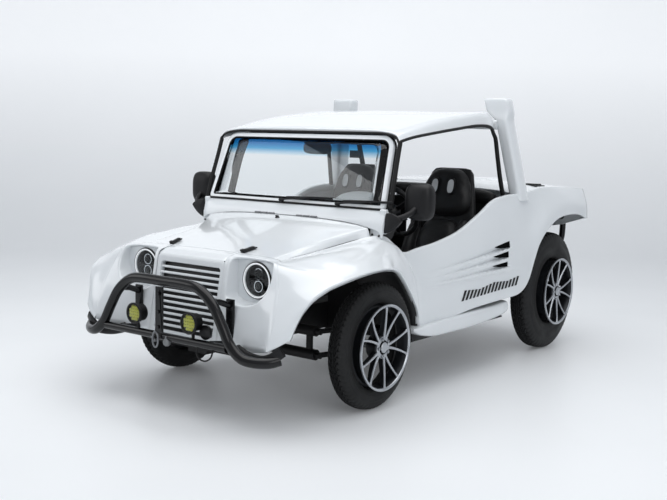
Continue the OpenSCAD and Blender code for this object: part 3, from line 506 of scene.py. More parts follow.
class Finishes:
    """Every finish on the car, built once."""

    def __init__(self) -> None:
        """Builds the plain finishes, then the few that need more than the common recipe."""
        plain = [
            # polyester gelcoat, sprayed in a mould: a deep even gloss with a faint wave in its reflections
            Finish("gelcoat_moulded", "#dfe3e6", "#d9dde0", 0.14, 0.2, Pattern.ORANGE_PEEL, 9, 0.02, coat=0.6),
            # enamel, stoved on steel tube: near black and wet looking, so it shows long highlights
            Finish("enamel_stoved", "#050506", "#08080a", 0.16, 0.26, Pattern.ORANGE_PEEL, 5, 0.015, ior=1.42),
            # satin chassis coat, brushed on: no clear reflections
            Finish("chassis_coat_brushed", "#0b0b0c", "#131314", 0.5, 0.65, Pattern.FINE, 3, 0.05, ior=1.4),
            # ABS, moulded against a spark-eroded tool: fine pebbles that soften its highlights
            Finish("abs_moulded", "#0a0a0c", "#101013", 0.42, 0.52, Pattern.GRAIN, 2.2, 0.06, ior=1.4),
            # EPDM rubber, extruded: matt, with a little sheen
            Finish("epdm_extruded", "#060607", "#0c0c0d", 0.5, 0.62, Pattern.FINE, 2, 0.03, ior=1.38),
            # tyre rubber, vulcanised in a mould: near black with a greyish bloom
            Finish("tyre_rubber_vulcanised", "#0c0c0d", "#151617", 0.6, 0.78, Pattern.FINE, 2.5, 0.08, ior=1.4,
                   sheen=0.04),
            # aluminium, face turned on a lathe: bright, with hair-thin rings
            Finish("aluminium_turned", "#b9bcc0", "#a9acb1", 0.26, 0.36, Pattern.TURNED, 3, 0.02, metallic=1.0),
            # aluminium under a gunmetal powder coat: dark and softly glossy
            Finish("powder_coat_gunmetal", "#1b1d20", "#25272b", 0.34, 0.44, Pattern.FINE, 2, 0.03, metallic=0.6),
            # steel, ground: grey with a soft shine
            Finish("steel_ground", "#8b8d90", "#75777a", 0.36, 0.5, Pattern.FINE, 2, 0.04, metallic=1.0),
            # aluminium, sand cast: pale and rough
            Finish("aluminium_sand_cast", "#8e9092", "#77797b", 0.55, 0.7, Pattern.CAST, 4, 0.35, metallic=0.9),
            # steel exhaust, mill finish: darkened by heat
            Finish("steel_heat_tinted", "#5b5753", "#46423f", 0.42, 0.6, Pattern.FINE, 3, 0.05, metallic=1.0),
            # chromium, plated: a mirror
            Finish("chrome_plated", "#e8eaec", "#dfe2e4", 0.05, 0.08, Pattern.ORANGE_PEEL, 6, 0.005, metallic=1.0),
            # black lamp housing, moulded and left dull so that it swallows stray light
            Finish("lamp_housing_moulded", "#060608", "#0b0b0e", 0.3, 0.4, Pattern.FINE, 1.5, 0.02, ior=1.4),
            # painted shade: a matt black sheet laid over the rear of each gill's recess stands in for the dark inside
            # of its opening; no gloss at all, so it reads as a hole
            Finish("flock_sprayed", "#010101", "#020203", 0.95, 1.0, Pattern.FINE, 2, 0.05, ior=1.15),
            # red acrylic, injection moulded: glossy and deep
            Finish("acrylic_red_moulded", "#8c0a0c", "#a00f10", 0.12, 0.18, Pattern.ORANGE_PEEL, 6, 0.01, coat=0.5),
            # amber acrylic, injection moulded
            Finish("acrylic_amber_moulded", "#c86a08", "#d87810", 0.12, 0.18, Pattern.ORANGE_PEEL, 6, 0.01, coat=0.5),
            # white acrylic of the lit ring round a headlamp
            Finish("acrylic_opal_moulded", "#f2f4f6", "#e9ecef", 0.25, 0.3, Pattern.ORANGE_PEEL, 6, 0.01, glow=0.25),
            # phosphor of a warm LED array: greenish yellow even when unlit
            Finish("led_phosphor_cast", "#c9c84a", "#aeb03a", 0.4, 0.5, Pattern.FINE, 2, 0.02, glow=0.12),
            # cut pile carpet, tufted: swallows light
            Finish("carpet_tufted", "#0f0f10", "#191a1b", 0.9, 0.98, Pattern.CAST, 3, 1.2, sheen=0.3),
            # painted instrument cowl, sprayed satin over moulded plastic
            Finish("satin_paint_sprayed", "#c9ccce", "#bfc3c5", 0.38, 0.46, Pattern.FINE, 2, 0.02),
            # mirror glass, silvered behind
            Finish("mirror_silvered", "#dfe5e8", "#d6dde1", 0.03, 0.05, Pattern.ORANGE_PEEL, 8, 0.002, metallic=1.0),
        ]
        for finish in plain:
            setattr(self, finish.name, finish.build())
        self.vinyl_grained = self.vinyl("vinyl_grained")
        self.screen_glass = self.tinted_glass("laminated_glass_floated", (1352.0, 1262.0))
        self.lamp_glass = self.clear_glass("borosilicate_glass_pressed")
        self.led_glass = self.clear_glass("acrylic_lens_moulded")

    def vinyl(self, name: str) -> bpy.types.Material:
        """Black upholstery vinyl, calendered with a leather grain: pebbles of 3 mm under a soft sheen.

        The relief is a pebble pattern on Object coordinates, plus fine creases from a stretched noise.

        Args:
            name: its name.
        Returns:
            The material.
        """
        mat = bpy.data.materials.new(name)
        mat.use_nodes = True
        tree = mat.node_tree
        tree.nodes.clear()
        at = add(tree, "TexCoord").outputs["Object"]
        pebbles = add(tree, "TexVoronoi", {"feature": "SMOOTH_F1", "Scale": 1 / 0.0035, "Smoothness": 0.5}, Vector=at)
        creases = add(tree, "TexNoise", {"Scale": 1 / 0.05, "Detail": 5.0, "Distortion": 1.2}, Vector=at)
        both = add(tree, "Math", {"operation": "MULTIPLY_ADD", 1: 0.5}, in0=pebbles.outputs["Distance"],
                   in2=creases.outputs["Fac"])
        bump = add(tree, "Bump", {"Strength": 1.0, "Distance": 0.0006}, Height=both.outputs["Value"])
        tint = add(tree, "Mix", {"data_type": "RGBA", 6: linear("#070708"), 7: linear("#101012")},
                   in0=creases.outputs["Fac"])
        rough = add(tree, "MapRange", {"From Min": 0.3, "From Max": 0.7, "To Min": 0.42, "To Max": 0.62},
                    Value=creases.outputs["Fac"])
        shader = add(tree, "BsdfPrincipled", {"Sheen Weight": 0.04, "IOR": 1.42},
                     Base_Color=tint.outputs[2], Roughness=rough.outputs["Result"], Normal=bump.outputs["Normal"])
        tree.links.new(shader.outputs["BSDF"], add(tree, "OutputMaterial").inputs["Surface"])
        return mat

    def tinted_glass(self, name: str, band_mm: tuple[float, float]) -> bpy.types.Material:
        """Laminated glass with a blue shade band in its film, which fades out downwards.

        Args:
            name: the material's name.
            band_mm: heights where the band is full and where it has faded out.
        Returns:
            The material.
        """
        mat = bpy.data.materials.new(name)
        mat.use_nodes = True
        tree = mat.node_tree
        tree.nodes.clear()
        at = add(tree, "TexCoord").outputs["Object"]
        xyz = add(tree, "SeparateXYZ", Vector=at)
        fade = add(tree, "MapRange", {"From Min": band_mm[1] * MM, "From Max": band_mm[0] * MM},
                   Value=xyz.outputs["Z"])
        ramp = add(tree, "ValToRGB", Fac=fade.outputs["Result"])
        stops = ramp.color_ramp.elements
        stops[0].position, stops[0].color = 0.0, linear("#f2f6f7")
        stops[1].position, stops[1].color = 1.0, linear("#1a5f9e")
        for place, code in ((0.12, "#cfe6f2"), (0.42, "#4aa6d6"), (0.7, "#1f7cbc")):
            stop = stops.new(place)
            stop.color = linear(code)
        shader = add(tree, "BsdfPrincipled", {"Roughness": 0.0, "Transmission Weight": 1.0, "IOR": 1.45},
                     Base_Color=ramp.outputs["Color"])
        tree.links.new(shader.outputs["BSDF"], add(tree, "OutputMaterial").inputs["Surface"])
        return mat

    def clear_glass(self, name: str) -> bpy.types.Material:
        """Pressed lamp glass: clear, with a faint wave from the mould.

        Args:
            name: its name.
        Returns:
            The material.
        """
        mat = bpy.data.materials.new(name)
        mat.use_nodes = True
        tree = mat.node_tree
        tree.nodes.clear()
        at = add(tree, "TexCoord").outputs["Object"]
        wave = add(tree, "TexNoise", {"Scale": 1 / 0.03, "Detail": 1.0}, Vector=at)
        bump = add(tree, "Bump", {"Strength": 0.6, "Distance": 0.0002}, Height=wave.outputs["Fac"])
        shader = add(tree, "BsdfPrincipled", {"Roughness": 0.0, "Transmission Weight": 1.0, "IOR": 1.3,
                                              "Base Color": linear("#f4f7f8")}, Normal=bump.outputs["Normal"])
        tree.links.new(shader.outputs["BSDF"], add(tree, "OutputMaterial").inputs["Surface"])
        return mat


# ---------------------------------------------------------------- body


def roll(edge: Array, out: Array, across: Array, profile: Sequence[tuple[float, float]]) -> Array:
    """Grid that carries on a panel past its edge: each column is edge + t * across + n * out.

    Args:
        edge: the panel's edge points.
        out: outward normals there.
        across: directions that lead off the panel there.
        profile: (t, n) of each further column.
    Returns:
        rows by columns by 3, its first column being the edge.
    """
    tn = np.asarray([(0.0, 0.0), *profile], float)
    return edge[:, None] + tn[None, :, :1] * across[:, None] + tn[None, :, 1:] * out[:, None]


def rolled_edge(radius: float, depth: float, lip: float = 0.0, steps: int = 4) -> list[tuple[float, float]]:
    """Profile of a rolled edge: a quarter circle inwards, a straight depth, and a turned-back lip."""
    a = np.linspace(0, math.pi / 2, steps + 1)[1:]
    arc = [(radius * math.sin(x), radius * (math.cos(x) - 1)) for x in a]
    arc.append((radius, -radius - depth))
    if lip:
        arc += [(radius - radius * (1 - math.cos(x)), -radius - depth - radius * math.sin(x)) for x in a]
        arc.append((-lip, -2 * radius - depth))
    return arc


@dataclass
class BodyShell:
    """Wings, the nose's sides round the lamps, tub sides and rear wings: one moulded skin on each side of the car. The
    nose band, the rear deck and the tail between are made by their own parts.
    """

    # rows rise from the bottom edge over the nose; columns run outwards from the grille to the wing's crease
    front: Net = (
        ((232, -672, 362), (400, -668, 360), (520, -690, 375), (600, -722, 395)),
        ((232, -656, 470), (400, -660, 468), (520, -675, 472), (604, -697, 482)),
        ((232, -640, 575), (400, -642, 573), (515, -650, 577), (600, -656, 588)),
        ((232, -624, 680), (400, -620, 680), (505, -620, 676), (580, -618, 674)),
        ((232, -605, 768), (400, -598, 770), (480, -590, 771), (540, -580, 762)),
        ((232, -562, 789), (400, -552, 787), (470, -545, 782), (512, -541, 775)),
        ((232, -515, 799), (400, -511, 793), (455, -509, 789), (490, -500, 782)),
    )
    # rows run from the wing's bottom corner over the wheel, along the tub and over the rear wheel
    side: Net = (
        ((600, -722, 395), (640, -712, 418), (672, -700, 438), (698, -686, 455)),
        ((604, -697, 482), (645, -690, 495), (684, -678, 512), (716, -660, 530)),
        ((600, -656, 588), (650, -648, 592), (700, -640, 600), (742, -630, 610)),
        ((580, -618, 674), (642, -610, 668), (708, -600, 662), (766, -585, 658)),
        ((540, -580, 762), (625, -560, 742), (712, -525, 718), (786, -505, 694)),
        ((512, -541, 775), (620, -506, 763), (716, -474, 738), (793, -452, 706)),
        ((490, -500, 782), (615, -450, 778), (720, -420, 752), (798, -400, 716)),
        ((478, -370, 792), (615, -330, 808), (725, -290, 780), (800, -270, 732)),
        ((480, -240, 804), (620, -190, 822), (732, -160, 792), (800, -140, 741)),
        ((498, -110, 822), (632, -60, 836), (734, -40, 798), (792, -20, 736)),
        ((540, 0, 846), (650, 60, 842), (722, 80, 790), (766, 95, 708)),
        ((590, 80, 868), (672, 150, 836), (718, 180, 760), (742, 190, 652)),
        ((640, 165, 862), (694, 240, 780), (714, 285, 660), (722, 305, 550)),
        ((670, 235, 790), (704, 310, 690), (712, 362, 560), (712, 385, 450)),
        ((690, 301, 772), (708, 373, 620), (710, 405, 470), (708, 413, 356)),
        ((704, 400, 790), (722, 440, 640), (724, 456, 480), (712, 462, 362)),
        ((716, 560, 812), (738, 570, 660), (740, 574, 500), (722, 576, 374)),
        ((726, 780, 860), (750, 770, 690), (752, 765, 520), (734, 760, 392)),
        ((728, 1000, 944), (758, 960, 740), (762, 940, 550), (745, 930, 410)),
        ((722, 1180, 1016), (758, 1140, 790), (768, 1110, 585), (755, 1100, 420)),
        ((722, 1330, 1040), (756, 1300, 830), (776, 1280, 620), (765, 1270, 428)),
        ((724, 1440, 1044), (756, 1430, 850), (784, 1430, 640), (776, 1450, 440)),
        ((726, 1500, 1048), (756, 1516, 860), (788, 1556, 690), (790, 1540, 505)),
        ((728, 1560, 1052), (756, 1590, 880), (790, 1630, 770), (800, 1600, 640)),
        ((730, 1650, 1062), (758, 1670, 925), (790, 1690, 830), (800, 1668, 740)),
        ((732, 1770, 1080), (762, 1780, 985), (790, 1790, 900), (800, 1780, 822)),
        ((735, 1920, 1084), (766, 1920, 1010), (790, 1920, 945), (800, 1920, 882)),
        ((742, 2080, 1080), (770, 2080, 1020), (792, 2080, 962), (800, 2080, 902)),
        ((750, 2240, 1072), (774, 2250, 1020), (794, 2260, 960), (800, 2260, 896)),
        ((760, 2395, 1062), (778, 2400, 1010), (794, 2404, 940), (800, 2404, 862)),
    )
    # lamp recess: distance from the middle of the car, and height up the front, where the nose counts on past 768
    recess: Net = (
        (248, 640), (252, 600), (290, 573), (345, 563), (400, 566), (452, 582), (500, 618), (524, 670), (528, 728),
        (512, 778), (470, 806), (380, 813), (300, 811), (256, 790), (247, 720),
    )
    front_heights: Sequence[float] = (362, 470, 575, 680, 768, 815, 862)
    recess_y: float = -546.0
    lamp_x: float = 386.0
    lamp_z: float = 684.0
    lamp_r: float = 92.0
    # gills: (front end, rear end) of each upper line as (Y, Z), depth and height at the rear
    gills: Net = (
        ((360, 655), (1322, 777), 34, 44),
        ((360, 625), (1302, 716), 34, 40),
        ((365, 598), (1286, 654), 30, 34),
    )
    along: int = 8
    across: int = 26

    def side_grid(self) -> Array:
        """The side's skin, pressed in along its gills and creased along its two long lines.

        Below each gill's upper line the skin goes in by depth * s * (distance below / height at s), where s is the
        share of the way back, and comes out again in one step at the gill's lower line. The long crease is a ridge
        that stands out by 5 mm and dies away over 60 mm below.
        """
        g = skin(self.side, self.across, self.along)
        y, z = g[..., 1].copy(), g[..., 2].copy()
        inward = np.zeros_like(y)
        for (y0, z0), (y1, z1), depth, height in self.gills:
            s = (y - y0) / (y1 - y0)
            below = z0 + s * (z1 - z0) + 10 * s * (s - 1) - z
            tall = 6 + (height - 6) * s
            inside = (s > 0) & (s < 1) & (below > 0) & (below < tall)
            inward = np.where(inside, depth * np.clip(s, 0, 1) ** 1.3 * below / tall, inward)
        s = np.clip((y - 380) / 1130, 0, 1)
        drop = 578 + 14 * s - z
        ridge = np.where((drop > -4) & (y > 380) & (y < 1510), np.sin(s * math.pi) ** 0.5, 0) * 6
        inward += np.where(drop > 0, ridge * np.exp(-np.maximum(drop, 0) / 40), ridge * (1 + drop / 4))
        g[..., 0] -= inward
        return g

    def on_side(self, y: Array, z: Array, off: float) -> Array:
        """Points of the smooth side at these Y and Z, off its surface: X from the four nearest points of its grid."""
        g = skin(self.side, 8, self.along)[10 * self.along : 24 * self.along].reshape(-1, 3)
        gap = (g[None, :, 1] - y.ravel()[:, None]) ** 2 + (g[None, :, 2] - z.ravel()[:, None]) ** 2
        near = np.argsort(gap, axis=1)[:, :4]
        w = 1 / (np.take_along_axis(gap, near, 1) + 1)
        x = (g[near, 0] * w).sum(1) / w.sum(1) + off
        return np.stack([x.reshape(y.shape), y, z], -1)

    def gill_openings(self) -> Shape:
        """Painted shade: a black wedge at the rear of each gill, standing in for the dark inside of its opening;
        pointed at its front, as tall as the gill at its rear.
        """
        shape = Shape()
        for (y0, z0), (y1, z1), _, height in self.gills:
            s = np.linspace(0.8, 0.992, 20)
            y = y0 + s * (y1 - y0)
            top = z0 + s * (z1 - z0) + 10 * s * (s - 1) - 2
            tall = (height - 4) * ((s - 0.8) / 0.192) ** 0.7
            share = np.linspace(0, 1, 5)
            shape.grid(self.on_side(np.repeat(y[:, None], 5, 1), top[:, None] - tall[:, None] * share, -2.0), flip=True)
        return shape

    def front_uv(self) -> tuple[Array, Array]:
        """The lamp recess's outline, and the front panel's border, in the panel's own (across, up) from 0 to 1."""
        net = np.asarray(self.front, float)
        ring = closed_curve(np.asarray(self.recess, float), 12)
        v = np.interp(ring[:, 1], self.front_heights, np.linspace(0, 1, len(net)))
        rows = v * (len(net) - 1)
        low = np.minimum(rows.astype(int), len(net) - 2)
        share = (rows - low)[:, None]
        xs = net[low][:, :, 0] * (1 - share) + net[low + 1][:, :, 0] * share
        u = np.array([np.interp(x, row, np.linspace(0, 1, 4)) for x, row in zip(ring[:, 0], xs)])
        nu, nv = 8 * 3, self.along * (len(net) - 1)
        a, b = np.arange(nu) / nu, np.arange(nv) / nv
        border = np.concatenate([np.stack([a, a * 0], 1), np.stack([b * 0 + 1, b], 1),
                                 np.stack([1 - a, a * 0 + 1], 1), np.stack([b * 0, 1 - b], 1)])
        centre = np.array([u.mean(), v.mean()])
        turn = np.arctan2(v - centre[1], u - centre[0])
        order = np.argsort(turn)
        want = np.arctan2(border[:, 1] - centre[1], border[:, 0] - centre[0])
        hole = np.stack([np.interp(want, turn[order], k[order], period=2 * math.pi) for k in (u, v)], 1)
        return border, hole

    def front_panel(self, side: Array) -> Shape:
        """One side of the front with its lamp recess, as rings that run from the border inwards.

        The rings go from the panel's border to the recess's lip, round the lip, back along its wall, and over
        its floor to the lamp's round hole.

        Args:
            side: the side's grid, whose first column is the panel's outer border.
        Returns:
            The shape.
        """
        fine = skin(self.front, 24, self.along)
        rows = fine.shape[0]
        pull = np.linspace(0, 1, fine.shape[1])[None, :, None] ** 6
        fine += pull * (side[:rows, 0] - fine[:, -1])[:, None]

        def on(uv: Array) -> Array:
            """Points of the panel at (across, up), between the four nearest points of its fine grid."""
            r = np.clip(uv[:, 1], 0, 1) * (rows - 1)
            c = np.clip(uv[:, 0], 0, 1) * (fine.shape[1] - 1)
            i, j = np.minimum(r.astype(int), rows - 2), np.minimum(c.astype(int), fine.shape[1] - 2)
            p, q = (r - i)[:, None], (c - j)[:, None]
            return (fine[i, j] * (1 - q) + fine[i, j + 1] * q) * (1 - p) + (fine[i + 1, j] * (1 - q) + fine[i + 1,
                j + 1] * q) * p

        border, hole = self.front_uv()
        rings = [on(border + (hole - border) * t) for t in (0, 0.18, 0.36, 0.54, 0.7, 0.83, 0.92, 0.97, 1)]
        lip = rings[-1]
        middle = np.array([self.lamp_x, 0, self.lamp_z])
        inward = unit((middle - lip) * [1, 0, 1])
        depth = self.recess_y - lip[:, 1]
        r = np.minimum(7.0, depth * 0.45)[:, None]
        back = np.array([0, 1.0, 0])
        for a in np.linspace(0, math.pi / 2, 5)[1:]:
            rings.append(lip + r * math.sin(a) * inward + r * (1 - math.cos(a)) * back)
        wall = lip + r * inward
        for share in (0.35, 0.65):
            rings.append(wall + (depth[:, None] * share) * back)
        foot = wall + (depth[:, None] - r) * back
        rings.append(foot)
        for a in np.linspace(0, math.pi / 2, 4)[1:]:
            rings.append(foot + r * (1 - math.cos(a)) * inward + r * math.sin(a) * back)
        flat = rings[-1]
        turn = np.arctan2(flat[:, 2] - self.lamp_z, flat[:, 0] - self.lamp_x)
        circle = np.stack([self.lamp_x + self.lamp_r * np.cos(turn), turn * 0 + self.recess_y,
                           self.lamp_z + self.lamp_r * np.sin(turn)], 1)
        rings += [flat + (circle - flat) * t for t in (0.25, 0.5, 0.75, 1)]
        rings.append(circle + [0, 12, 0])
        return Shape().grid(np.array(rings), wrap=True, flip=True)

    def half(self) -> Shape:
        """One side of the car: front panel, side skin, and the rolled edges of door cut, arches and sill."""
        g = self.side_grid()
        out = normals(g)
        shape = Shape().grid(g).join(self.front_panel(g))
        step = self.along
        off_low = unit(g[:, -1] - g[:, -2])
        shape.grid(roll(g[:, -1], out[:, -1], off_low, rolled_edge(5, 16)))
        off_top = unit(g[:, 0] - g[:, 1])
        door = slice(12 * step, 24 * step + 1)
        shape.grid(roll(g[door, 0], out[door, 0], off_top[door], rolled_edge(9, 10, 40)), flip=True)
        valley = slice(6 * step, 12 * step + 1)
        shape.grid(roll(g[valley, 0], out[valley, 0], off_top[valley], rolled_edge(3, 22)), flip=True)
        return shape

    def arch_liner(self, first: int, last: int, inner_x: float, hub: tuple[float, float]) -> Shape:
        """Black liner of a wheel arch: the arch's lip carried inwards to inner_x and drawn in towards the hub."""
        lip = skin(self.side, 4, self.along)[first * self.along : last * self.along + 1, -1]
        near = lip - [0, hub[0], hub[1]]
        start = lip * [1, 0, 0] + [-12, *hub] + near * [0, 0.985, 0.985]
        inside = near * [0, 0.86, 0.93] + [inner_x, *hub]
        rows = [start + (inside - start) * t for t in np.linspace(0, 1, 7)]
        return Shape().grid(np.swapaxes(np.array(rows), 0, 1))

    def build(self, shop: Workshop, looks: Finishes) -> None:
        """Makes the shell's pieces: two sides, the painted shade in the gills, and arch liners.

        Args:
            shop: puts the pieces together.
            looks: the finishes.
        """
        half = self.half()
        coats = [looks.gelcoat_moulded]
        shop.piece("body_side_left", half, coats, stands_for=["front_wing_left", "side_panel_left", "rear_wing_left"],
                   thick=4)
        shop.piece("body_side_right", half.flipped(), coats,
                   stands_for=["front_wing_right", "side_panel_right", "rear_wing_right"], thick=4)
        # painted shade: black wedges stand in for the dark inside of the gills' openings
        shop.piece("gill_openings", self.gill_openings().mirrored(), [looks.flock_sprayed],
                   thick=1)
        liner = self.arch_liner(1, 14, 440, (0, 326)).join(self.arch_liner(20, 28, 420, (2020, 388)))
        shop.piece("arch_liners", liner.mirrored(), [looks.abs_moulded], thick=3)


@dataclass
class Nose:
    """Nose band and the grille's frame, slats and backing."""

    half: float = 232.0
    slot_half: float = 208.0
    top: tuple[float, float] = (-605.0, 768.0)
    foot: tuple[float, float] = (-672.0, 362.0)
    slats: int = 11
    slot_low: float = 28.0
    slot_high: float = 376.0

    def on_face(self, p: Array) -> Array:
        """Points drawn flat as (X, depth back, height up the grille), leaned back with the nose."""
        lean = math.atan2(self.top[0] - self.foot[0], self.top[1] - self.foot[1])
        y = self.foot[0] + p[..., 1] * math.cos(lean) + p[..., 2] * math.sin(lean)
        z = self.foot[1] - p[..., 1] * math.sin(lean) + p[..., 2] * math.cos(lean)
        return np.stack([p[..., 0], y, z], -1)

    def frame(self) -> Shape:
        """Face round the grille's opening: rings from the outer rectangle to the rounded opening, then back."""
        high = math.dist(self.top, self.foot)
        outer = self.ring(self.half, 0, high, 1)
        inner = self.ring(self.slot_half, self.slot_low, self.slot_high, 14)
        rings = [outer, outer + (inner - outer) * 0.5, inner]
        rings += [inner * [1, 0, 1] + [0, d, 0] for d in (3, 14, 30)]
        return Shape().grid(self.on_face(np.array(rings)), wrap=True, flip=True)

    def ring(self, half: float, low: float, high: float, r: float) -> Array:
        """A rounded rectangle: at each angle the point of a square, with its corners drawn in by r.

        Args:
            half: half its width.
            low: its bottom.
            high: its top.
            r: radius of its corners.
        Returns:
            Its points.
        """
        n = 96
        a = (np.arange(n) + 0.5) / n * 2 * math.pi
        c, s = np.cos(a), np.sin(a)
        square = np.stack([c, s], 1) / np.maximum(np.abs(c), np.abs(s))[:, None]
        size = np.array([half, (high - low) / 2])
        p = square * size
        inner = np.clip(p, -(size - r), size - r)
        p = inner + r * unit(p - inner) if r > 1 else p
        return np.stack([p[:, 0], np.zeros(n), p[:, 1] + (high + low) / 2], 1)

    def build(self, shop: Workshop, looks: Finishes) -> None:
        """Makes the nose band with the grille's frame, the slats, and the black backing.

        Args:
            shop: puts the pieces together.
            looks: the finishes.
        """
        band = skin((((0, -605, 768), (116, -605, 768), (232, -605, 768)),
                     ((0, -566, 790), (116, -565, 790), (232, -562, 789)),
                     ((0, -515, 801), (116, -515, 800.5), (232, -515, 799))), 4, 8)
        shape = Shape().grid(band)
        shape = shape.mirrored().join(self.frame())
        shop.piece("nose_band", shape, [looks.gelcoat_moulded], stands_for=["nose"], thick=4,
                   bevel=1.5)
        slats = Shape()
        pitch = (self.slot_high - self.slot_low) / (self.slats + 1)
        for k in range(1, self.slats + 1):
            mid = self.slot_low + k * pitch
            slats.block((-self.slot_half - 2, 1, mid - 6.5), (self.slot_half + 2, 24, mid + 6.5), 5, place=self.on_face)
        back = Shape().block((-self.half + 2, 26, self.slot_low - 12), (self.half - 2, 30, self.slot_high + 12), 1, 1,
                             place=self.on_face)
        shop.piece("grille_slats", slats, [looks.gelcoat_moulded], stands_for=["grille"])
        shop.piece("grille_backing", back, [looks.lamp_housing_moulded])


@dataclass
class Bonnet:
    """Opening hood with its raised middle, and the cowl that carries the windscreen."""

    hood: Net = (
        ((0, -508, 801), (150, -508, 800), (300, -507, 797), (428, -504, 791), (446, -503, 786), (468, -502, 777)),
        ((0, -380, 832), (150, -378, 830), (300, -374, 825), (424, -367, 815), (446, -365, 808), (468, -362, 793)),
        ((0, -240, 865), (160, -238, 863), (310, -232, 854), (428, -223, 840), (450, -220, 830), (470, -216, 806)),
        ((0, -110, 895), (170, -106, 893), (335, -98, 882), (450, -85, 867), (474, -81, 855), (488, -78, 826)),
        ((0, 0, 920), (200, 2, 918), (390, 8, 906), (496, 19, 891), (518, 22, 880), (531, 26, 850)),
        ((0, 104, 940), (220, 104, 938), (420, 103, 928), (547, 100, 912), (568, 99, 900), (580, 98, 868)),
    )
    cowl: Net = (
        ((0, 113, 941), (220, 113, 939), (420, 112, 929), (562, 109, 908), (616, 112, 892), (637, 127, 861)),
        ((0, 122, 962), (220, 122, 961), (420, 120, 955), (566, 118, 944), (628, 120, 932), (643, 134, 916)),
        ((0, 136, 984), (220, 136, 984), (420, 135, 982), (570, 134, 976), (634, 134, 968), (646, 146, 960)),
        ((0, 149, 1001), (220, 149, 1001), (420, 149, 1001), (572, 149, 1000), (640, 149, 998), (650, 158, 996)),
    )
    latch_x: float = 255.0
    latch_y: float = -466.0

    def build(self, shop: Workshop, looks: Finishes) -> None:
        """Makes the hood with its down-turned edges and hinge knuckles, its latches, and the cowl.

        Args:
            shop: puts the pieces together.
            looks: the finishes.
        """
        g = skin(self.hood, 8, 8)
        out = normals(g)
        shape = Shape().grid(g)
        shape.grid(roll(g[:, -1], out[:, -1], unit(g[:, -1] - g[:, -2]), rolled_edge(2, 12)))
        forward = unit(g[0] - g[1])
        shape.grid(roll(g[0], out[0], forward, rolled_edge(3, 14)), flip=True)
        shop.piece("hood_skin", shape.mirrored(), [looks.gelcoat_moulded], "hood_lid", ["hood"],
                   thick=3.5)
        knuckles = Shape()
        for x in (80, 130, 180):
            knuckles.turned([(x, 3), (x, 6), (x + 40, 6), (x + 40, 3)], (0, 110, 942), sides=20)
        shop.piece("hood_hinges", knuckles.mirrored(), [looks.steel_ground], "hood_lid")
        self.latches(shop, looks)
        c = skin(self.cowl, 8, 8)
        side = roll(c[:, -1], normals(c)[:, -1], unit(c[:, -1] - c[:, -2]), rolled_edge(3, 20))
        cowl = Shape().grid(c).grid(side)
        shop.piece("cowl_skin", cowl.mirrored(), [looks.gelcoat_moulded], stands_for=["cowl"],
                   thick=4)
        nozzle = Shape().turned([(0, 0.1), (0, 13), (3, 14), (7, 11), (12, 7), (12, 0.1)], (0, 44, 925), (0, -0.2, 1),
                                24)
        nozzle.block((-9, 34, 934), (9, 46, 942), 3)
        shop.piece("washer_nozzle", nozzle, [looks.abs_moulded], "hood_lid")

    def latches(self, shop: Workshop, looks: Finishes) -> None:
        """Rubber toggle latches: a rounded strap over a keeper, with a finger tab at its front.

        Args:
            shop: puts the pieces together.
            looks: the finishes.
        """
        shape = Shape()

        def tilt(p: Array) -> Array:
            """Lies the latch on the hood's slope."""
            q = p - [self.latch_x, self.latch_y, 812]
            a = math.radians(14)
            y = q[..., 1] * math.cos(a) - q[..., 2] * math.sin(a)
            z = q[..., 1] * math.sin(a) + q[..., 2] * math.cos(a)
            return np.stack([q[..., 0] + 0.18 * y, y, z], -1) + [self.latch_x, self.latch_y, 812]

        x, y = self.latch_x, self.latch_y
        shape.block((x - 13, y - 42, 810), (x + 13, y + 42, 817), 3, place=tilt)
        shape.block((x - 10, y - 36, 815), (x + 10, y + 30, 824), 4, place=tilt)
        shape.block((x - 12, y - 46, 817), (x + 12, y - 26, 828), 4, place=tilt)
        for spot in (-14, 8):
            shape.turned([(0, 0.1), (0, 6), (3, 5), (4, 0.1)], (x + 0.18 * spot, y + spot, 822 + spot * 0.25),
                         (0, -0.24, 1), 16)
        shop.piece("latches", shape.mirrored(), [looks.abs_moulded], "hood_lid", ["hood_latches"])


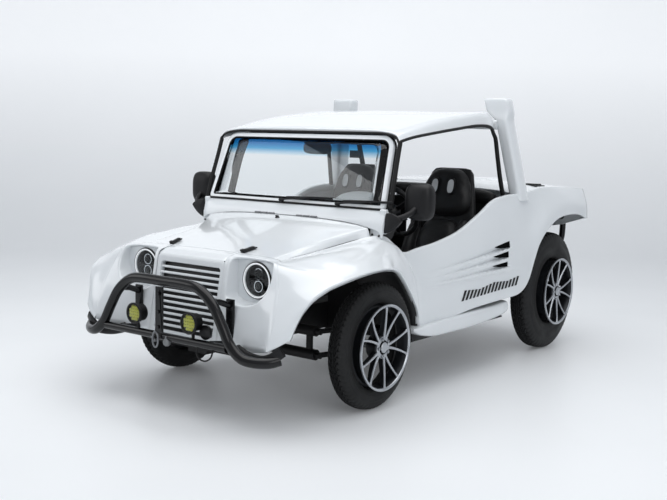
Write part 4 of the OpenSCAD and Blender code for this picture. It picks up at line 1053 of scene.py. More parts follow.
@dataclass
class Windscreen:
    """Flat leaning screen: painted frame, rubber gasket, glass, wipers and inside mirror."""

    foot: tuple[float, float] = (150.0, 1001.0)
    lean: float = math.radians(19.5)
    high: float = 410.0
    half_low: float = 622.0
    half_high: float = 596.0
    frame_w: float = 27.0
    frame_d: float = 30.0

    def tilt(self, p: Array) -> Array:
        """Points drawn flat as (X, depth back, height up the screen), leaned back with it."""
        c, s = math.cos(self.lean), math.sin(self.lean)
        y = self.foot[0] + p[..., 1] * c + p[..., 2] * s
        z = self.foot[1] - p[..., 1] * s + p[..., 2] * c
        return np.stack([p[..., 0], y, z], -1)

    def outline(self, inset: float, radius: float = 70.0, foot: float = 14.0, depth: float = 0.0) -> Array:
        """The screen's outline, drawn in by inset, with corners of this radius at the top and foot at the bottom.

        Args:
            inset: how far it is drawn in.
            radius: of the top corners.
            foot: radius of the bottom corners.
            depth: how far back it lies.
        Returns:
            Its points, drawn flat.
        """
        w0, w1, low, high = self.half_low - inset, self.half_high - inset, inset, self.high - inset
        r, f = max(radius - inset * 0.6, 12), foot
        a = np.linspace(0, math.pi / 2, 9)
        right = np.concatenate([
            np.stack([w0 - f + f * np.sin(a), low + f - f * np.cos(a)], 1),
            np.stack([w1 - r + r * np.cos(a), high - r + r * np.sin(a)], 1)])
        left = right[::-1] * [-1, 1]
        ring = np.concatenate([right, left])
        dense = []
        for p, q in zip(ring, np.roll(ring, -1, 0)):
            n = max(1, int(np.linalg.norm(q - p) / 30))
            dense.append(p + (q - p) * (np.arange(n) / n)[:, None])
        flat = np.concatenate(dense)
        return np.stack([flat[:, 0], np.full(len(flat), depth), flat[:, 1]], 1)

    def bead(self, inset: float, depth: float, w: float, d: float, power: float = 4.0, sides: int = 16) -> Shape:
        """A closed strip round the screen with a superellipse section of width w and depth d."""
        path = self.outline(inset, depth=depth)
        t = unit(np.roll(path, -1, 0) - np.roll(path, 1, 0))
        inner = np.cross(np.broadcast_to([0, 1.0, 0], t.shape), t)
        section = superellipse(w / 2, d / 2, sides, power)
        rings = path[:, None] + section[None, :, :1] * inner[:, None] + section[None, :, 1:] * np.array([0, 1.0, 0])
        g = self.tilt(np.concatenate([rings, rings[:1]]))
        return Shape().grid(g, wrap=True)

    def build(self, shop: Workshop, looks: Finishes) -> None:
        """Makes the frame, gaskets, glass, wipers, mirror and the bolted feet.

        Args:
            shop: puts the pieces together.
            looks: the finishes.
        """
        frame = self.bead(self.frame_w / 2, self.frame_d / 2, self.frame_w, self.frame_d, 6, 24)
        shop.piece("screen_frame", frame, [looks.gelcoat_moulded], stands_for=["windscreen_frame"])
        gasket = self.bead(self.frame_w - 1, 9, 9, 17, 2.6).join(self.bead(-1, 27, 8, 12, 2.4))
        gasket.tube(self.tilt(np.stack([np.linspace(-606, 606, 60), np.full(60, -3), np.full(60, 3)], 1)), 6, 12)
        shop.piece("screen_gasket", gasket, [looks.epdm_extruded])
        pane = self.outline(self.frame_w + 1)
        middle = pane.mean(0)
        rings = np.array([self.tilt(middle + (pane - middle) * t + [0, 12, 0]) for t in np.linspace(0.02, 1, 8)])
        glass = Shape().grid(rings, wrap=True, flip=True)
        core = rings[0]
        glass.add(np.vstack([core, core.mean(0)]),
                  np.stack([np.arange(len(core)), (np.arange(len(core)) + 1) % len(core),
                            np.full(len(core), len(core))], -1))
        shop.piece("screen_pane", glass, [looks.screen_glass], stands_for=["windscreen_glass"],
                   thick=4.5)
        self.wipers(shop, looks)
        self.mirror(shop, looks)
        feet = Shape().block((606, 138, 880), (648, 164, 1008), 8).block((562, 120, 856), (640, 132, 930), 6)
        shop.piece("screen_feet", feet.mirrored(), [looks.gelcoat_moulded])
        bolts = Shape()
        for x, z in ((580, 876), (622, 872), (628, 958)):
            bolts.turned([(-22, 0.1), (0, 6), (4, 6), (6, 4), (6, 0.1)], (x, 120 if z < 900 else 137, z), (0, -1, 0),
                         12)
        shop.piece("screen_foot_bolts", bolts.mirrored(), [looks.lamp_housing_moulded])

    def wipers(self, shop: Workshop, looks: Finishes) -> None:
        """Two wipers parked low: pivot cap, tapering arm, blade holder and rubber blade.

        Args:
            shop: puts the pieces together.
            looks: the finishes.
        """
        shape = Shape()
        for pivot in (-60, 330):
            cap = [(0, 0.1), (0, 14), (10, 13), (20, 9), (22, 0.1)]
            centre = self.tilt(np.array([pivot, -4.0, 14.0]))
            shape.turned(cap, centre, (0, -math.cos(self.lean), math.sin(self.lean)), 20)
            arm = np.array([[pivot, -20, 14], [pivot + 60, -24, 20], [pivot + 190, -17, 34]], float)
            shape.tube(self.tilt(curve(arm, 8)), np.linspace(6.5, 3.5, 17), 10)
            x = np.linspace(pivot + 30, pivot + 345, 24)
            bow = 6 * (1 - ((x - x.mean()) / 158) ** 2)
            line = np.stack([x, -6 - bow, 33 + 0.03 * (x - pivot)], 1)
            shape.sweep(self.tilt(line), superellipse(4.5, 5.5, 10), (0, 0, 1))
            shape.sweep(self.tilt(line + [0, 6, -1]), superellipse(1.8, 4.5, 8, 2.5), (0, 0, 1))
        shop.piece("wiper_set", shape, [looks.abs_moulded], stands_for=["wipers"])

    def mirror(self, shop: Workshop, looks: Finishes) -> None:
        """Inside mirror: a rounded shell on a ball stem from the screen's top rail, its glass facing back.

        Args:
            shop: puts the pieces together.
            looks: the finishes.
        """
        x, y, z = 0.0, 384.0, 1306.0
        shape = Shape()
        stem = np.array([[x, 318, 1378], [x, 345, 1372], [x, 368, 1352], [x, y - 6, z]], float)
        shape.tube(curve(stem, 6), np.linspace(8, 6, 19), 12)
        shape.block((x - 26, 300, 1368), (x + 26, 322, 1388), 6)
        outline = superellipse(98, 34, 48, 3.4)
        steps = ((-14, 0.5), (-11, 0.86), (-6, 0.97), (0, 1.0), (8, 1.0), (11, 0.97))
        shape.loft(stations(outline, (x, y, z), steps))
        shop.piece("mirror_inside", shape, [looks.abs_moulded], stands_for=["interior_mirror"])
        glass = stations(outline, (x, y + 11.4, z), ((0.028, 0.93), (0.2, 0.5), (0.38, 0.05)))
        shop.piece("mirror_inside_glass", Shape().loft(glass), [looks.mirror_silvered])


@dataclass
class Top:
    """Hard top with rubber trims, roll hoop with its two ears, and the inner cage."""

    roof: Net = (
        ((0, 290, 1401), (200, 290, 1401), (400, 288, 1401), (520, 284, 1399), (604, 272, 1383), (634, 262, 1352)),
        ((0, 300, 1424), (200, 300, 1423), (400, 298, 1421), (524, 294, 1414), (606, 284, 1398), (636, 276, 1362)),
        ((0, 420, 1460), (200, 420, 1458), (400, 416, 1451), (530, 410, 1442), (612, 402, 1424), (640, 396, 1386)),
        ((0, 620, 1508), (200, 620, 1505), (400, 616, 1495), (530, 612, 1483), (614, 606, 1464), (641, 604, 1412)),
        ((0, 860, 1534), (200, 860, 1532), (400, 858, 1525), (530, 856, 1516), (616, 856, 1500), (641, 852, 1440)),
        ((0, 1080, 1541), (200, 1080, 1540), (400, 1080, 1537), (530, 1080, 1535), (616, 1080, 1526),
         (640, 1080, 1462)),
        ((0, 1240, 1537), (200, 1240, 1537), (400, 1240, 1537), (530, 1240, 1539), (612, 1240, 1536),
         (638, 1236, 1458)),
        ((0, 1340, 1516), (200, 1340, 1516), (400, 1340, 1516), (530, 1330, 1520), (606, 1316, 1512),
         (634, 1298, 1414)),
    )
    hoop_base: tuple[float, float, float] = (706.0, 1540.0, 1008.0)
    hoop_top: tuple[float, float, float] = (604.0, 1432.0, 1540.0)

    def build(self, shop: Workshop, looks: Finishes) -> None:
        """Makes the roof skin, its edge trims, the hoop with ears, and the cage.

        Args:
            shop: puts the pieces together.
            looks: the finishes.
        """
        g = skin(self.roof, 8, 8)
        out = normals(g)
        shape = Shape().grid(g)
        shape.grid(roll(g[:, -1], out[:, -1], unit(g[:, -1] - g[:, -2]), rolled_edge(3, 8)))
        shop.piece("roof_skin", shape.mirrored(), [looks.gelcoat_moulded], stands_for=["hard_top"],
                   thick=6)
        trim = Shape()
        front = np.concatenate([g[0][::-1], (g[0] * [-1, 1, 1])[1:]])
        trim.tube(front + [0, -2, -3], 6.5, 12)
        edge = g[:, -1] + [2, 0, -5]
        tail = np.array([[639, 1316, 1380], [645, 1340, 1270], [653, 1370, 1140], [662, 1396, 1046]])
        side = resampled(np.concatenate([edge, curve(np.vstack([edge[-1], tail]), 8)[1:]]), 110)
        radius = np.interp(np.arange(110), (0, 70, 84, 110), (8, 9, 13, 14))
        trim.join(Shape().tube(side, radius, 12)).join(Shape().tube(side * [-1, 1, 1], radius, 12))
        post = curve(np.array([[636, 270, 1350], [640, 240, 1250], [648, 200, 1120], [653, 172, 1010]], float), 6)
        trim.join(Shape().tube(post, 12, 12)).join(Shape().tube(post * [-1, 1, 1], 12, 12))
        shop.piece("roof_trim", trim, [looks.epdm_extruded])
        self.hoop(shop, looks)
        self.cage(shop, looks)

    def hoop(self, shop: Workshop, looks: Finishes) -> None:
        """Hoop pillars lofted from rounded sections, swelling into flat ears on top, and the beam between.

        A section at share s of the height is a superellipse centred on the line from base to top; near the top
        its half sizes grow from the pillar's to the ear's along a smooth step.

        Args:
            shop: puts the pieces together.
            looks: the finishes.
        """
        base, top = np.array(self.hoop_base), np.array(self.hoop_top) + [0, 0, 90]
        shares = np.concatenate([np.linspace(0, 0.78, 14), np.linspace(0.8, 0.93, 8), [0.96, 0.985, 0.996, 1.0]])
        rings = []
        for s in shares:
            t = np.clip((s - 0.76) / 0.14, 0, 1)
            grow = t * t * (3 - 2 * t)
            shrink = 1 - 0.1 * max(0.0, (s - 0.985) / 0.015) ** 2 * (s > 0.985)
            w = (42 + 40 * grow) * shrink
            d = (62 - 12 * grow) * shrink
            mid = base + (top - base) * s + [-22 * grow, 4 * grow, 0]
            out = superellipse(w, d, 40, 4.5)
            rings.append(np.stack([mid[0] + out[:, 0], mid[1] + out[:, 1], np.full(40, mid[2])], 1))
        shape = Shape().loft(np.array(rings))
        shape = shape.mirrored()
        y, z = self.hoop_top[1] - 5, 1471.0
        x = np.linspace(-600, 600, 40)
        beam = np.stack([x, np.full(40, y), z + 4 * (1 - (x / 600) ** 2)], 1)
        shape.sweep(beam, superellipse(38, 30, 32, 4.5), (0, 0, 1))
        shop.piece("hoop", shape, [looks.gelcoat_moulded], stands_for=["roll_hoop"])

    def cage(self, shop: Workshop, looks: Finishes) -> None:
        """Cage: side tubes under the roof edges, a cross tube, and on the right a slanting stay with its plate.

        Args:
            shop: puts the pieces together.
            looks: the finishes.
        """
        path = np.array([[532, 232, 996], [512, 318, 1290], [500, 430, 1390], [508, 900, 1478], [512, 1300, 1474],
                         [512, 1384, 1472]], float)
        shape = Shape().tube(curve(path, 10), 21, 20).mirrored()
        stay = np.array([[-470, 1386, 1466], [-430, 1404, 1300], [-392, 1420, 1104]], float)
        shape.tube(curve(stay, 8), 17, 16)
        shape.block((-500, 1380, 1236), (-404, 1404, 1286), 4)
        across = np.stack([np.linspace(-500, 500, 30), np.full(30, 430), np.full(30, 1392)], 1)
        shape.tube(across, 18, 16)
        shop.piece("cage", shape, [looks.enamel_stoved], stands_for=["roll_cage"])


@dataclass
class Wheel:
    """A tyre with tread blocks on a ten-spoke alloy rim. The outer face looks along +X for the left side."""

    name: str
    body: str
    centre_x: float
    face_x: float
    hub_y: float
    hub_z: float
    tyre_d: float
    tyre_w: float
    rim_d: float = 441.0
    blocks: int = 64

    def tyre(self) -> Shape:
        """The tyre: a closed section turned round X, its crown cut by grooves that depend on place and angle.

        The radius on the crown is lowered by the groove's depth wherever a point lies in one of four rings, or in
        a slanting sipe between blocks: the sipe's angle is the block's number plus a share of the way across.
        """
        r0, r1, w = self.rim_d / 2 - 2, self.tyre_d / 2, self.tyre_w / 2
        wall = r1 - r0
        side = [(-w + 16, r0), (-w + 9, r0 + 4), (-w + 5, r0 + 10), (-w + 2.5, r0 + 0.28 * wall),
                (-w + 2, r0 + 0.31 * wall),
                (-w + 0.4, r0 + 0.33 * wall), (-w, r0 + 0.45 * wall), (-w + 0.6, r0 + 0.57 * wall),
                (-w + 2.4, r0 + 0.59 * wall), (-w + 3.2, r0 + 0.66 * wall), (-w + 7, r0 + 0.78 * wall),
                (-w + 13, r0 + 0.88 * wall), (-w + 20, r0 + 0.95 * wall)]
        count = 45
        x = np.linspace(-w + 26, w - 26, count)
        crown = np.stack([x, r1 - 5.0 * np.abs(x / (w - 26)) ** 2.4], 1)
        outer = np.concatenate([side, crown, [(-a, b) for a, b in side[::-1]]])
        inner = [(w - 22, r0 + 8), (0, r0 + 20), (-w + 22, r0 + 8)]
        profile = np.concatenate([outer, inner, outer[:1]])
        n = self.blocks * 6
        a = np.arange(n) / n * 2 * math.pi
        px, pr = profile[:, None, 0], profile[:, None, 1]
        share = px / (w - 26)
        on_crown = (np.abs(share) <= 1.001) & (pr > r1 - 8)
        ring = np.zeros(px.shape, bool)
        for spot in (-0.55, -0.18, 0.18, 0.55):
            ring |= np.abs(share - spot) < 0.06
        wave = a[None] / (2 * math.pi) * self.blocks + 0.9 * np.abs(share) + 0.25 * np.sin(share * 9)
        sipe = ((wave % 1) < 0.26) & (np.abs(share) > 0.22)
        fine = ((wave + 0.5) % 1 < 0.17) & (np.abs(share) <= 0.5)
        shoulder = (np.abs(px) > w - 21) & (pr > r0 + 0.86 * wall) & (np.abs(px) <= w)
        notch = shoulder & ((wave % 1) < 0.3)
        radius = pr - np.where(on_crown & (ring | sipe), 8.0, 0) - np.where(on_crown & fine & ~ring, 4.0, 0)
        radius = radius - np.where(notch, 5.0, 0)
        g = np.stack([np.broadcast_to(px, radius.shape), radius * np.cos(a), radius * np.sin(a)], -1)
        return Shape().grid(g + [self.centre_x, self.hub_y, self.hub_z], wrap=True)

    def rim(self) -> Shape:
        """The rim: barrel and lip in one turned section, its front lip bright and the barrel dark, with its hub.

        Slot 0 is the machined face, slot 1 the dark coat.
        """
        r = self.rim_d / 2
        depth = self.tyre_w - 16
        section = [(0, r - 10), (0.5, r - 3), (-1.5, r), (-8, r + 0.5), (-14, r - 3), (-22, r - 14), (-60, r - 20),
                   (-depth + 22, r - 20), (-depth + 12, r - 4), (-depth, r), (-depth, r - 10), (-depth + 22, r - 27),
                   (-60, r - 27), (-30, r - 24), (-16, r - 19), (-6, r - 15), (-2.5, r - 13), (0, r - 10)]
        slots = [0, 0, 0, 0, 1, 1, 1, 1, 1, 1, 1, 1, 1, 1, 1, 0, 0]
        shape = Shape().turned(np.array(section)[::-1], (self.face_x, self.hub_y, self.hub_z), sides=120,
                               slot=slots[::-1])
        hub = [(-84, 24), (-84, 62), (-66, 66), (-30, 62), (-22, 56), (-19, 50), (-19, 37), (-24, 33), (-26, 30),
               (-14, 28),
               (-11, 25), (-10, 12), (-10, 0.1)]
        hub_slots = [1, 1, 1, 1, 0, 0, 1, 1, 1, 0, 0, 0]
        shape.join(Shape().turned(np.array(hub), (self.face_x, self.hub_y, self.hub_z), sides=60, slot=hub_slots))
        return shape.join(self.spokes()).join(self.lugs())

    def spokes(self) -> Shape:
        """Ten thin spokes in five pairs: bright flat faces with dark sides, wider and deeper towards the hub.

        At radius r a spoke's section is a rectangle with bevelled front edges, centred on a line that fans out
        from its pair's middle, its face following a shallow dish.
        """
        shape = Shape()
        r0, r1 = 46.0, self.rim_d / 2 - 13
        t = np.linspace(0, 1, 12)
        radius = r0 + (r1 - r0) * t
        face = -19 + 14 * t**1.6
        half = 8.5 - 2.8 * t + 3.5 * np.maximum(0, t - 0.86) / 0.14
        deep = 34 - 12 * t
        for k in range(5):
            for side in (-1, 1):
                fan = math.radians(72 * k) + side * np.radians(9 + 8.5 * t)
                section = np.array([(-1, -1), (-1, -0.16), (-0.72, 0), (0.72, 0), (1, -0.16), (1, -1)])
                across = section[None, :, 0] * half[:, None]
                back = section[None, :, 1] * deep[:, None]
                u = np.stack([np.cos(fan), np.sin(fan)], 1)
                v = np.stack([-np.sin(fan), np.cos(fan)], 1)
                y = radius[:, None] * u[:, :1] + across * v[:, :1]
                z = radius[:, None] * u[:, 1:] + across * v[:, 1:]
                x = face[:, None] + back
                g = np.stack([x + self.face_x, y + self.hub_y, z + self.hub_z], -1)
                slots = np.tile([1, 0, 0, 0, 1, 1], (len(t) - 1, 1))
                shape.grid(g, slots, wrap=True)
        return shape

    def lugs(self) -> Shape:
        """Five wheel bolts in their wells, and the valve."""
        shape = Shape()
        for k in range(5):
            a = math.radians(72 * k + 36)
            at = (self.face_x, self.hub_y + 44 * math.cos(a), self.hub_z + 44 * math.sin(a))
            shape.turned([(-20, 10), (-14, 9.5), (-11, 8), (-10, 5), (-14, 4.5), (-14, 0.1)], at, sides=6, slot=0)
        a = math.radians(20)
        at = (self.face_x - 22, self.hub_y + (self.rim_d / 2 - 30) * math.cos(a),
              self.hub_z + (self.rim_d / 2 - 30) * math.sin(a))
        shape.turned([(-20, 3), (8, 3), (14, 2.4), (14, 0.1)], at, sides=10, slot=1)
        return shape

    def build(self, shop: Workshop, looks: Finishes) -> None:
        """Makes the tyre and the rim, mirrored for the right side."""
        left = self.body.endswith("left")
        tyre, rim = self.tyre(), self.rim()
        if not left:
            tyre, rim = tyre.flipped(), rim.flipped()
        shop.piece(f"tyre_tread_{self.name}", tyre, [looks.tyre_rubber_vulcanised], self.body, [f"tyre_{self.name}"],
                   sharp=32)
        shop.piece(f"alloy_rim_{self.name}", rim, [looks.aluminium_turned, looks.powder_coat_gunmetal], self.body,
                   [f"rim_{self.name}"], sharp=30)


@dataclass
class Tail:
    """Rear deck with its opening lid, tail panel, lamps, plate, vents and bumper."""

    # columns run outwards, the second one along the lid's side; rows run back over the deck and down the tail
    deck: Net = (
        ((0, 1475, 1082), (333, 1475, 1078), (480, 1475, 1073), (610, 1475, 1065), (724, 1475, 1047)),
        ((0, 1554, 1100), (333, 1554, 1096), (480, 1554, 1088), (610, 1554, 1076), (727, 1554, 1052)),
        ((0, 1660, 1110), (333, 1660, 1106), (480, 1660, 1099), (610, 1660, 1088), (730, 1660, 1062)),
        ((0, 1770, 1117), (333, 1770, 1112), (480, 1770, 1107), (610, 1770, 1098), (732, 1770, 1080)),
        ((0, 2000, 1112), (333, 2000, 1108), (480, 2000, 1103), (610, 2000, 1096), (738, 2000, 1082)),
        ((0, 2286, 1088), (333, 2286, 1084), (480, 2286, 1081), (610, 2286, 1077), (754, 2286, 1069)),
        ((0, 2366, 1077), (333, 2366, 1073), (480, 2366, 1071), (610, 2370, 1069), (759, 2376, 1063)),
        ((0, 2384, 1056), (333, 2384, 1052), (480, 2386, 1051), (610, 2390, 1050), (765, 2398, 1046)),
        ((0, 2384, 960), (333, 2384, 960), (480, 2386, 960), (610, 2390, 958), (778, 2402, 950)),
        ((0, 2354, 790), (333, 2354, 790), (480, 2358, 794), (610, 2370, 806), (786, 2402, 864)),
    )

    def build(self, shop: Workshop, looks: Finishes) -> None:
        """Makes the deck and tail skin, the lid, and everything bolted to them.

        Args:
            shop: puts the pieces together.
            looks: the finishes.
        """
        g = skin(self.deck, 8, 8)
        shape = Shape().grid(g[:9]).grid(g[8:41, 8:]).grid(g[40:])
        off = unit(g[-1] - g[-2])
        shape.grid(roll(g[-1], normals(g)[-1], off, rolled_edge(5, 14)), flip=True)
        rim = np.concatenate([g[8, :9], g[9:41, 8], g[40, 7::-1]])
        gutter = np.stack([rim, rim + [0, 0, -12], rim + [0, 0, -22]])
        shape.grid(gutter)
        shop.piece("rear_deck_skin", shape.mirrored(), [looks.gelcoat_moulded], stands_for=["rear_deck"],
                   thick=4)
        self.lid(shop, looks, g[8:41, :9])
        self.lamps(shop, looks)
        self.bumper(shop, looks)

    def lid(self, shop: Workshop, looks: Finishes, g: Array) -> None:
        """The engine lid: the deck's own middle, drawn in 5 mm all round, with turned-down edges and louvres.

        Args:
            shop: puts the pieces together.
            looks: the finishes.
            g: the deck's grid under the lid.
        """
        mid = (g[0, 0, 1] + g[-1, 0, 1]) / 2
        p = g * [328 / 333, 1, 1]
        p[..., 1] = mid + (g[..., 1] - mid) * 0.984
        out = normals(p)
        shape = Shape().grid(p).grid(roll(p[:, -1], out[:, -1], unit(p[:, -1] - p[:, -2]), rolled_edge(3, 12)))
        shape.grid(roll(p[0], out[0], unit(p[0] - p[1]), rolled_edge(3, 12)), flip=True)
        shape.grid(roll(p[-1], out[-1], unit(p[-1] - p[-2]), rolled_edge(3, 12)))
        shop.piece("engine_lid_skin", shape.mirrored(), [looks.gelcoat_moulded], "engine_cover", ["engine_lid"],
                   thick=4)
        louvres = Shape()
        for side in (-1, 1):
            for k in range(7):
                y = 1830 + 52 * k
                top = 1111 - 0.5 * k
                section = np.array([(-20, -2), (-14, 5), (0, 11), (12, 13), (18, 12), (18, 9), (8, 2), (0, -2)])
                x = np.linspace(70, 270, 12) * side
                ease = np.sqrt(np.clip(1 - ((np.abs(x) - 170) / 100) ** 4, 0.02, 1))
                back, up = section[:, 0] * ease[:, None], section[:, 1] * ease[:, None]
                level = top - 0.012 * np.abs(x)[:, None]
                louvres.loft(np.stack(np.broadcast_arrays(x[:, None], y + back, level + up), -1))
        shop.piece("lid_louvres", louvres, [looks.gelcoat_moulded], "engine_cover")
        shape = Shape()
        for x in (-250, 250):
            shape.turned([(x - 30, 0.1), (x - 30, 6), (x + 30, 6), (x + 30, 0.1)], (0, 1557, 1099.8), sides=16)
        shop.piece("lid_hinges", shape, [looks.steel_ground], "engine_cover")

    def lamps(self, shop: Workshop, looks: Finishes) -> None:
        """Round tail lamps, a blank number plate under its lamp, and the quarter vents.

        Args:
            shop: puts the pieces together.
            looks: the finishes.
        """
        rims, lens, inner = Shape(), Shape(), Shape()
        for x in (-640, 640):
            at = (x, 2388, 930)
            rims.turned([(-22, 0.1), (-22, 46), (-10, 50), (10, 50), (14, 47), (12, 43), (0, 42)], at, (0, 1, 0), 48)
            r = np.linspace(42, 18, 24)
            wave = np.stack([14 + 2.2 * np.cos(r * 1.1) - r * r * 0.002, r], 1)
            lens.turned([(2, 42.5), *wave, (10, 17)], at, (0, 1, 0), 48)
            inner.turned([(8, 17), (15, 16), (17, 8), (17.5, 0.1)], at, (0, 1, 0), 32)
        shop.piece("tail_lamp_rims", rims, [looks.chrome_plated], stands_for=["tail_lamps"])
        shop.piece("tail_lamp_lenses", lens, [looks.acrylic_red_moulded])
        shop.piece("tail_lamp_centres", inner, [looks.acrylic_amber_moulded])
        plate = Shape().block((-198, 2393, 837), (198, 2397, 963), 2).block((-188, 2396, 846), (188, 2398.5, 954), 1)
        shop.piece("plate_blank", plate, [looks.satin_paint_sprayed], stands_for=["number_plate"])
        holder = Shape().block((-206, 2386, 826), (206, 2394, 972), 4).block((-60, 2388, 974), (60, 2416, 992), 6)
        for x in (-150, 150):
            holder.turned([(0, 0.1), (0, 8), (4, 7), (5, 0.1)], (x, 2398, 900), (0, 1, 0), 16)
        shop.piece("plate_holder", holder, [looks.abs_moulded])
        vents = Shape()
        for k in range(6):
            y = 1792 + 18 * k
            vents.block((582, y, 1090), (684, y + 8, 1102), 3)
        vents.block((574, 1782, 1080), (692, 1902, 1094), 8)
        rim = np.array([(574, 1782), (692, 1782), (692, 1902), (574, 1902)], float)
        loop = closed_curve(np.repeat(rim, 3, 0) + np.tile([(0, 0.1), (0, 0), (0.1, 0)], (4, 1)), 3)
        path = np.stack([loop[:, 0], loop[:, 1], np.full(len(loop), 1096.0) - (loop[:, 0] - 574) * 0.07], 1)
        vents.tube(path, 5, 10, closed=True)
        shop.piece("quarter_vents", vents.mirrored(), [looks.abs_moulded])

    def bumper(self, shop: Workshop, looks: Finishes) -> None:
        """Tubular rear bumper: a straight bar with swept ends, on two arms with bolted flanges.

        Args:
            shop: puts the pieces together.
            looks: the finishes.
        """
        path = np.array([[420, 2398, 640], [510, 2398, 640], [580, 2400, 652], [614, 2404, 700], [620, 2408, 790],
                         [620, 2400, 846], [620, 2360, 862], [620, 2262, 862]], float)
        right = curve(path, 6)
        whole = np.concatenate([(right * [-1, 1, 1])[::-1], right])
        shape = Shape().tube(whole, 21, 20)
        arms = Shape()
        for x in (404, 436):
            arms.tube(np.array([[x, 2396, 640], [x, 2330, 628], [x, 2240, 600], [x, 2180, 560]], float), 14, 14)
        shape.join(arms.mirrored())
        shop.piece("bumper_tubes", shape, [looks.enamel_stoved], stands_for=["rear_bumper"])


@dataclass
class Lamps:
    """Headlamps with a lit ring round two projectors, and small fog lamps on the bull bar."""

    x: float = 386.0
    y: float = -546.0
    z: float = 684.0

    def build(self, shop: Workshop, looks: Finishes) -> None:
        """Makes rims, rings, bowls, projectors and lenses of both kinds of lamp.

        Args:
            shop: puts the pieces together.
            looks: the finishes.
        """
        at = (self.x, self.y, self.z)
        ahead = (0, -1, 0)
        shell = Shape().turned([(-130, 0.1), (-130, 40), (-90, 70), (-14, 74), (-12, 91), (4, 91), (10, 89.5), (12, 87),
                                (10, 85)], at, ahead, 72)
        shop.piece("headlamp_shells", shell.mirrored(), [looks.lamp_housing_moulded], stands_for=["headlamps"])
        ring = Shape().turned([(8, 86), (12, 84.5), (13, 81), (12, 78), (8, 76.5), (3, 76)], at, ahead, 72)
        shop.piece("headlamp_rings", ring.mirrored(), [looks.acrylic_opal_moulded])
        bowl = Shape().turned([(4, 76.5), (0, 74), (-4, 66), (-14, 62), (-34, 56), (-44, 40), (-46, 0.1)], at, ahead,
                              72)
        bowl.block((self.x - 62, self.y + 8, self.z - 6), (self.x + 62, self.y + 16, self.z + 6), 3)
        shop.piece("headlamp_bowls", bowl.mirrored(), [looks.lamp_housing_moulded])
        collar, lens = Shape(), Shape()
        for dz in (-30, 30):
            spot = (self.x, self.y, self.z + dz)
            collar.turned([(-40, 27), (-16, 27), (-8, 29), (-4, 28), (-4, 24), (-12, 23)], spot, ahead, 40)
            a = np.linspace(math.pi / 2, 0.01, 10)
            dome = np.stack([-12 + 18 * np.cos(a), 23 * np.sin(a)], 1)
            lens.turned(dome, spot, ahead, 40)
        shop.piece("projector_collars", collar.mirrored(), [looks.chrome_plated])
        shop.piece("projector_lenses", lens.mirrored(), [looks.led_glass])
        r = np.linspace(84, 0.1, 18)
        cover = np.stack([8 + 9 * (1 - (r / 84) ** 2), r], 1)
        shop.piece("headlamp_covers", Shape().turned(cover, at, ahead, 72).mirrored(), [looks.lamp_glass],
                   thick=2)
        self.fog(shop, looks)

    def fog(self, shop: Workshop, looks: Finishes) -> None:
        """Round fog lamps: finned body, rim, bowl, and a grid of phosphor blocks behind clear glass.

        Args:
            shop: puts the pieces together.
            looks: the finishes.
        """
        ahead = (0, -1, 0)
        at = (190, -815, 486)
        fins = [(-62, 0.1), (-62, 30)]
        for k in range(5):
            fins += [(-58 + 8 * k, 42), (-54 + 8 * k, 42), (-54 + 8 * k, 36), (-50 + 8 * k, 36)]
        body = Shape().turned([*fins, (-16, 44), (-12, 52), (-2, 53), (0, 50), (0, 44), (-6, 43)], at, ahead, 56)
        body.tube(np.array([[190, -785, 440], [190, -778, 420], [190, -782, 398]], float), 8, 12)
        body.block((166, -798, 392), (214, -772, 402), 3)
        shop.piece("fog_lamp_bodies", body.mirrored(), [looks.abs_moulded], stands_for=["fog_lamps"])
        bowl = Shape().turned([(-6, 43.5), (-12, 41), (-18, 34), (-20, 0.1)], at, ahead, 56)
        shop.piece("fog_lamp_bowls", bowl.mirrored(), [looks.lamp_housing_moulded])
        cells = Shape()
        for i in range(-2, 3):
            for j in range(-2, 3):
                if i * i + j * j < 7:
                    x, z = 190 + 14.5 * i, 486 + 14.5 * j
                    cells.block((x - 6.4, -808, z - 6.4), (x + 6.4, -798, z + 6.4), 2.5)
        shop.piece("fog_lamp_leds", cells.mirrored(), [looks.led_phosphor_cast])
        r = np.linspace(43.5, 0.1, 12)
        cover = np.stack([-4 + 3 * (1 - (r / 43) ** 2), r], 1)
        shop.piece("fog_lamp_covers", Shape().turned(cover, at, ahead, 56).mirrored(), [looks.lamp_glass],
                   thick=2)


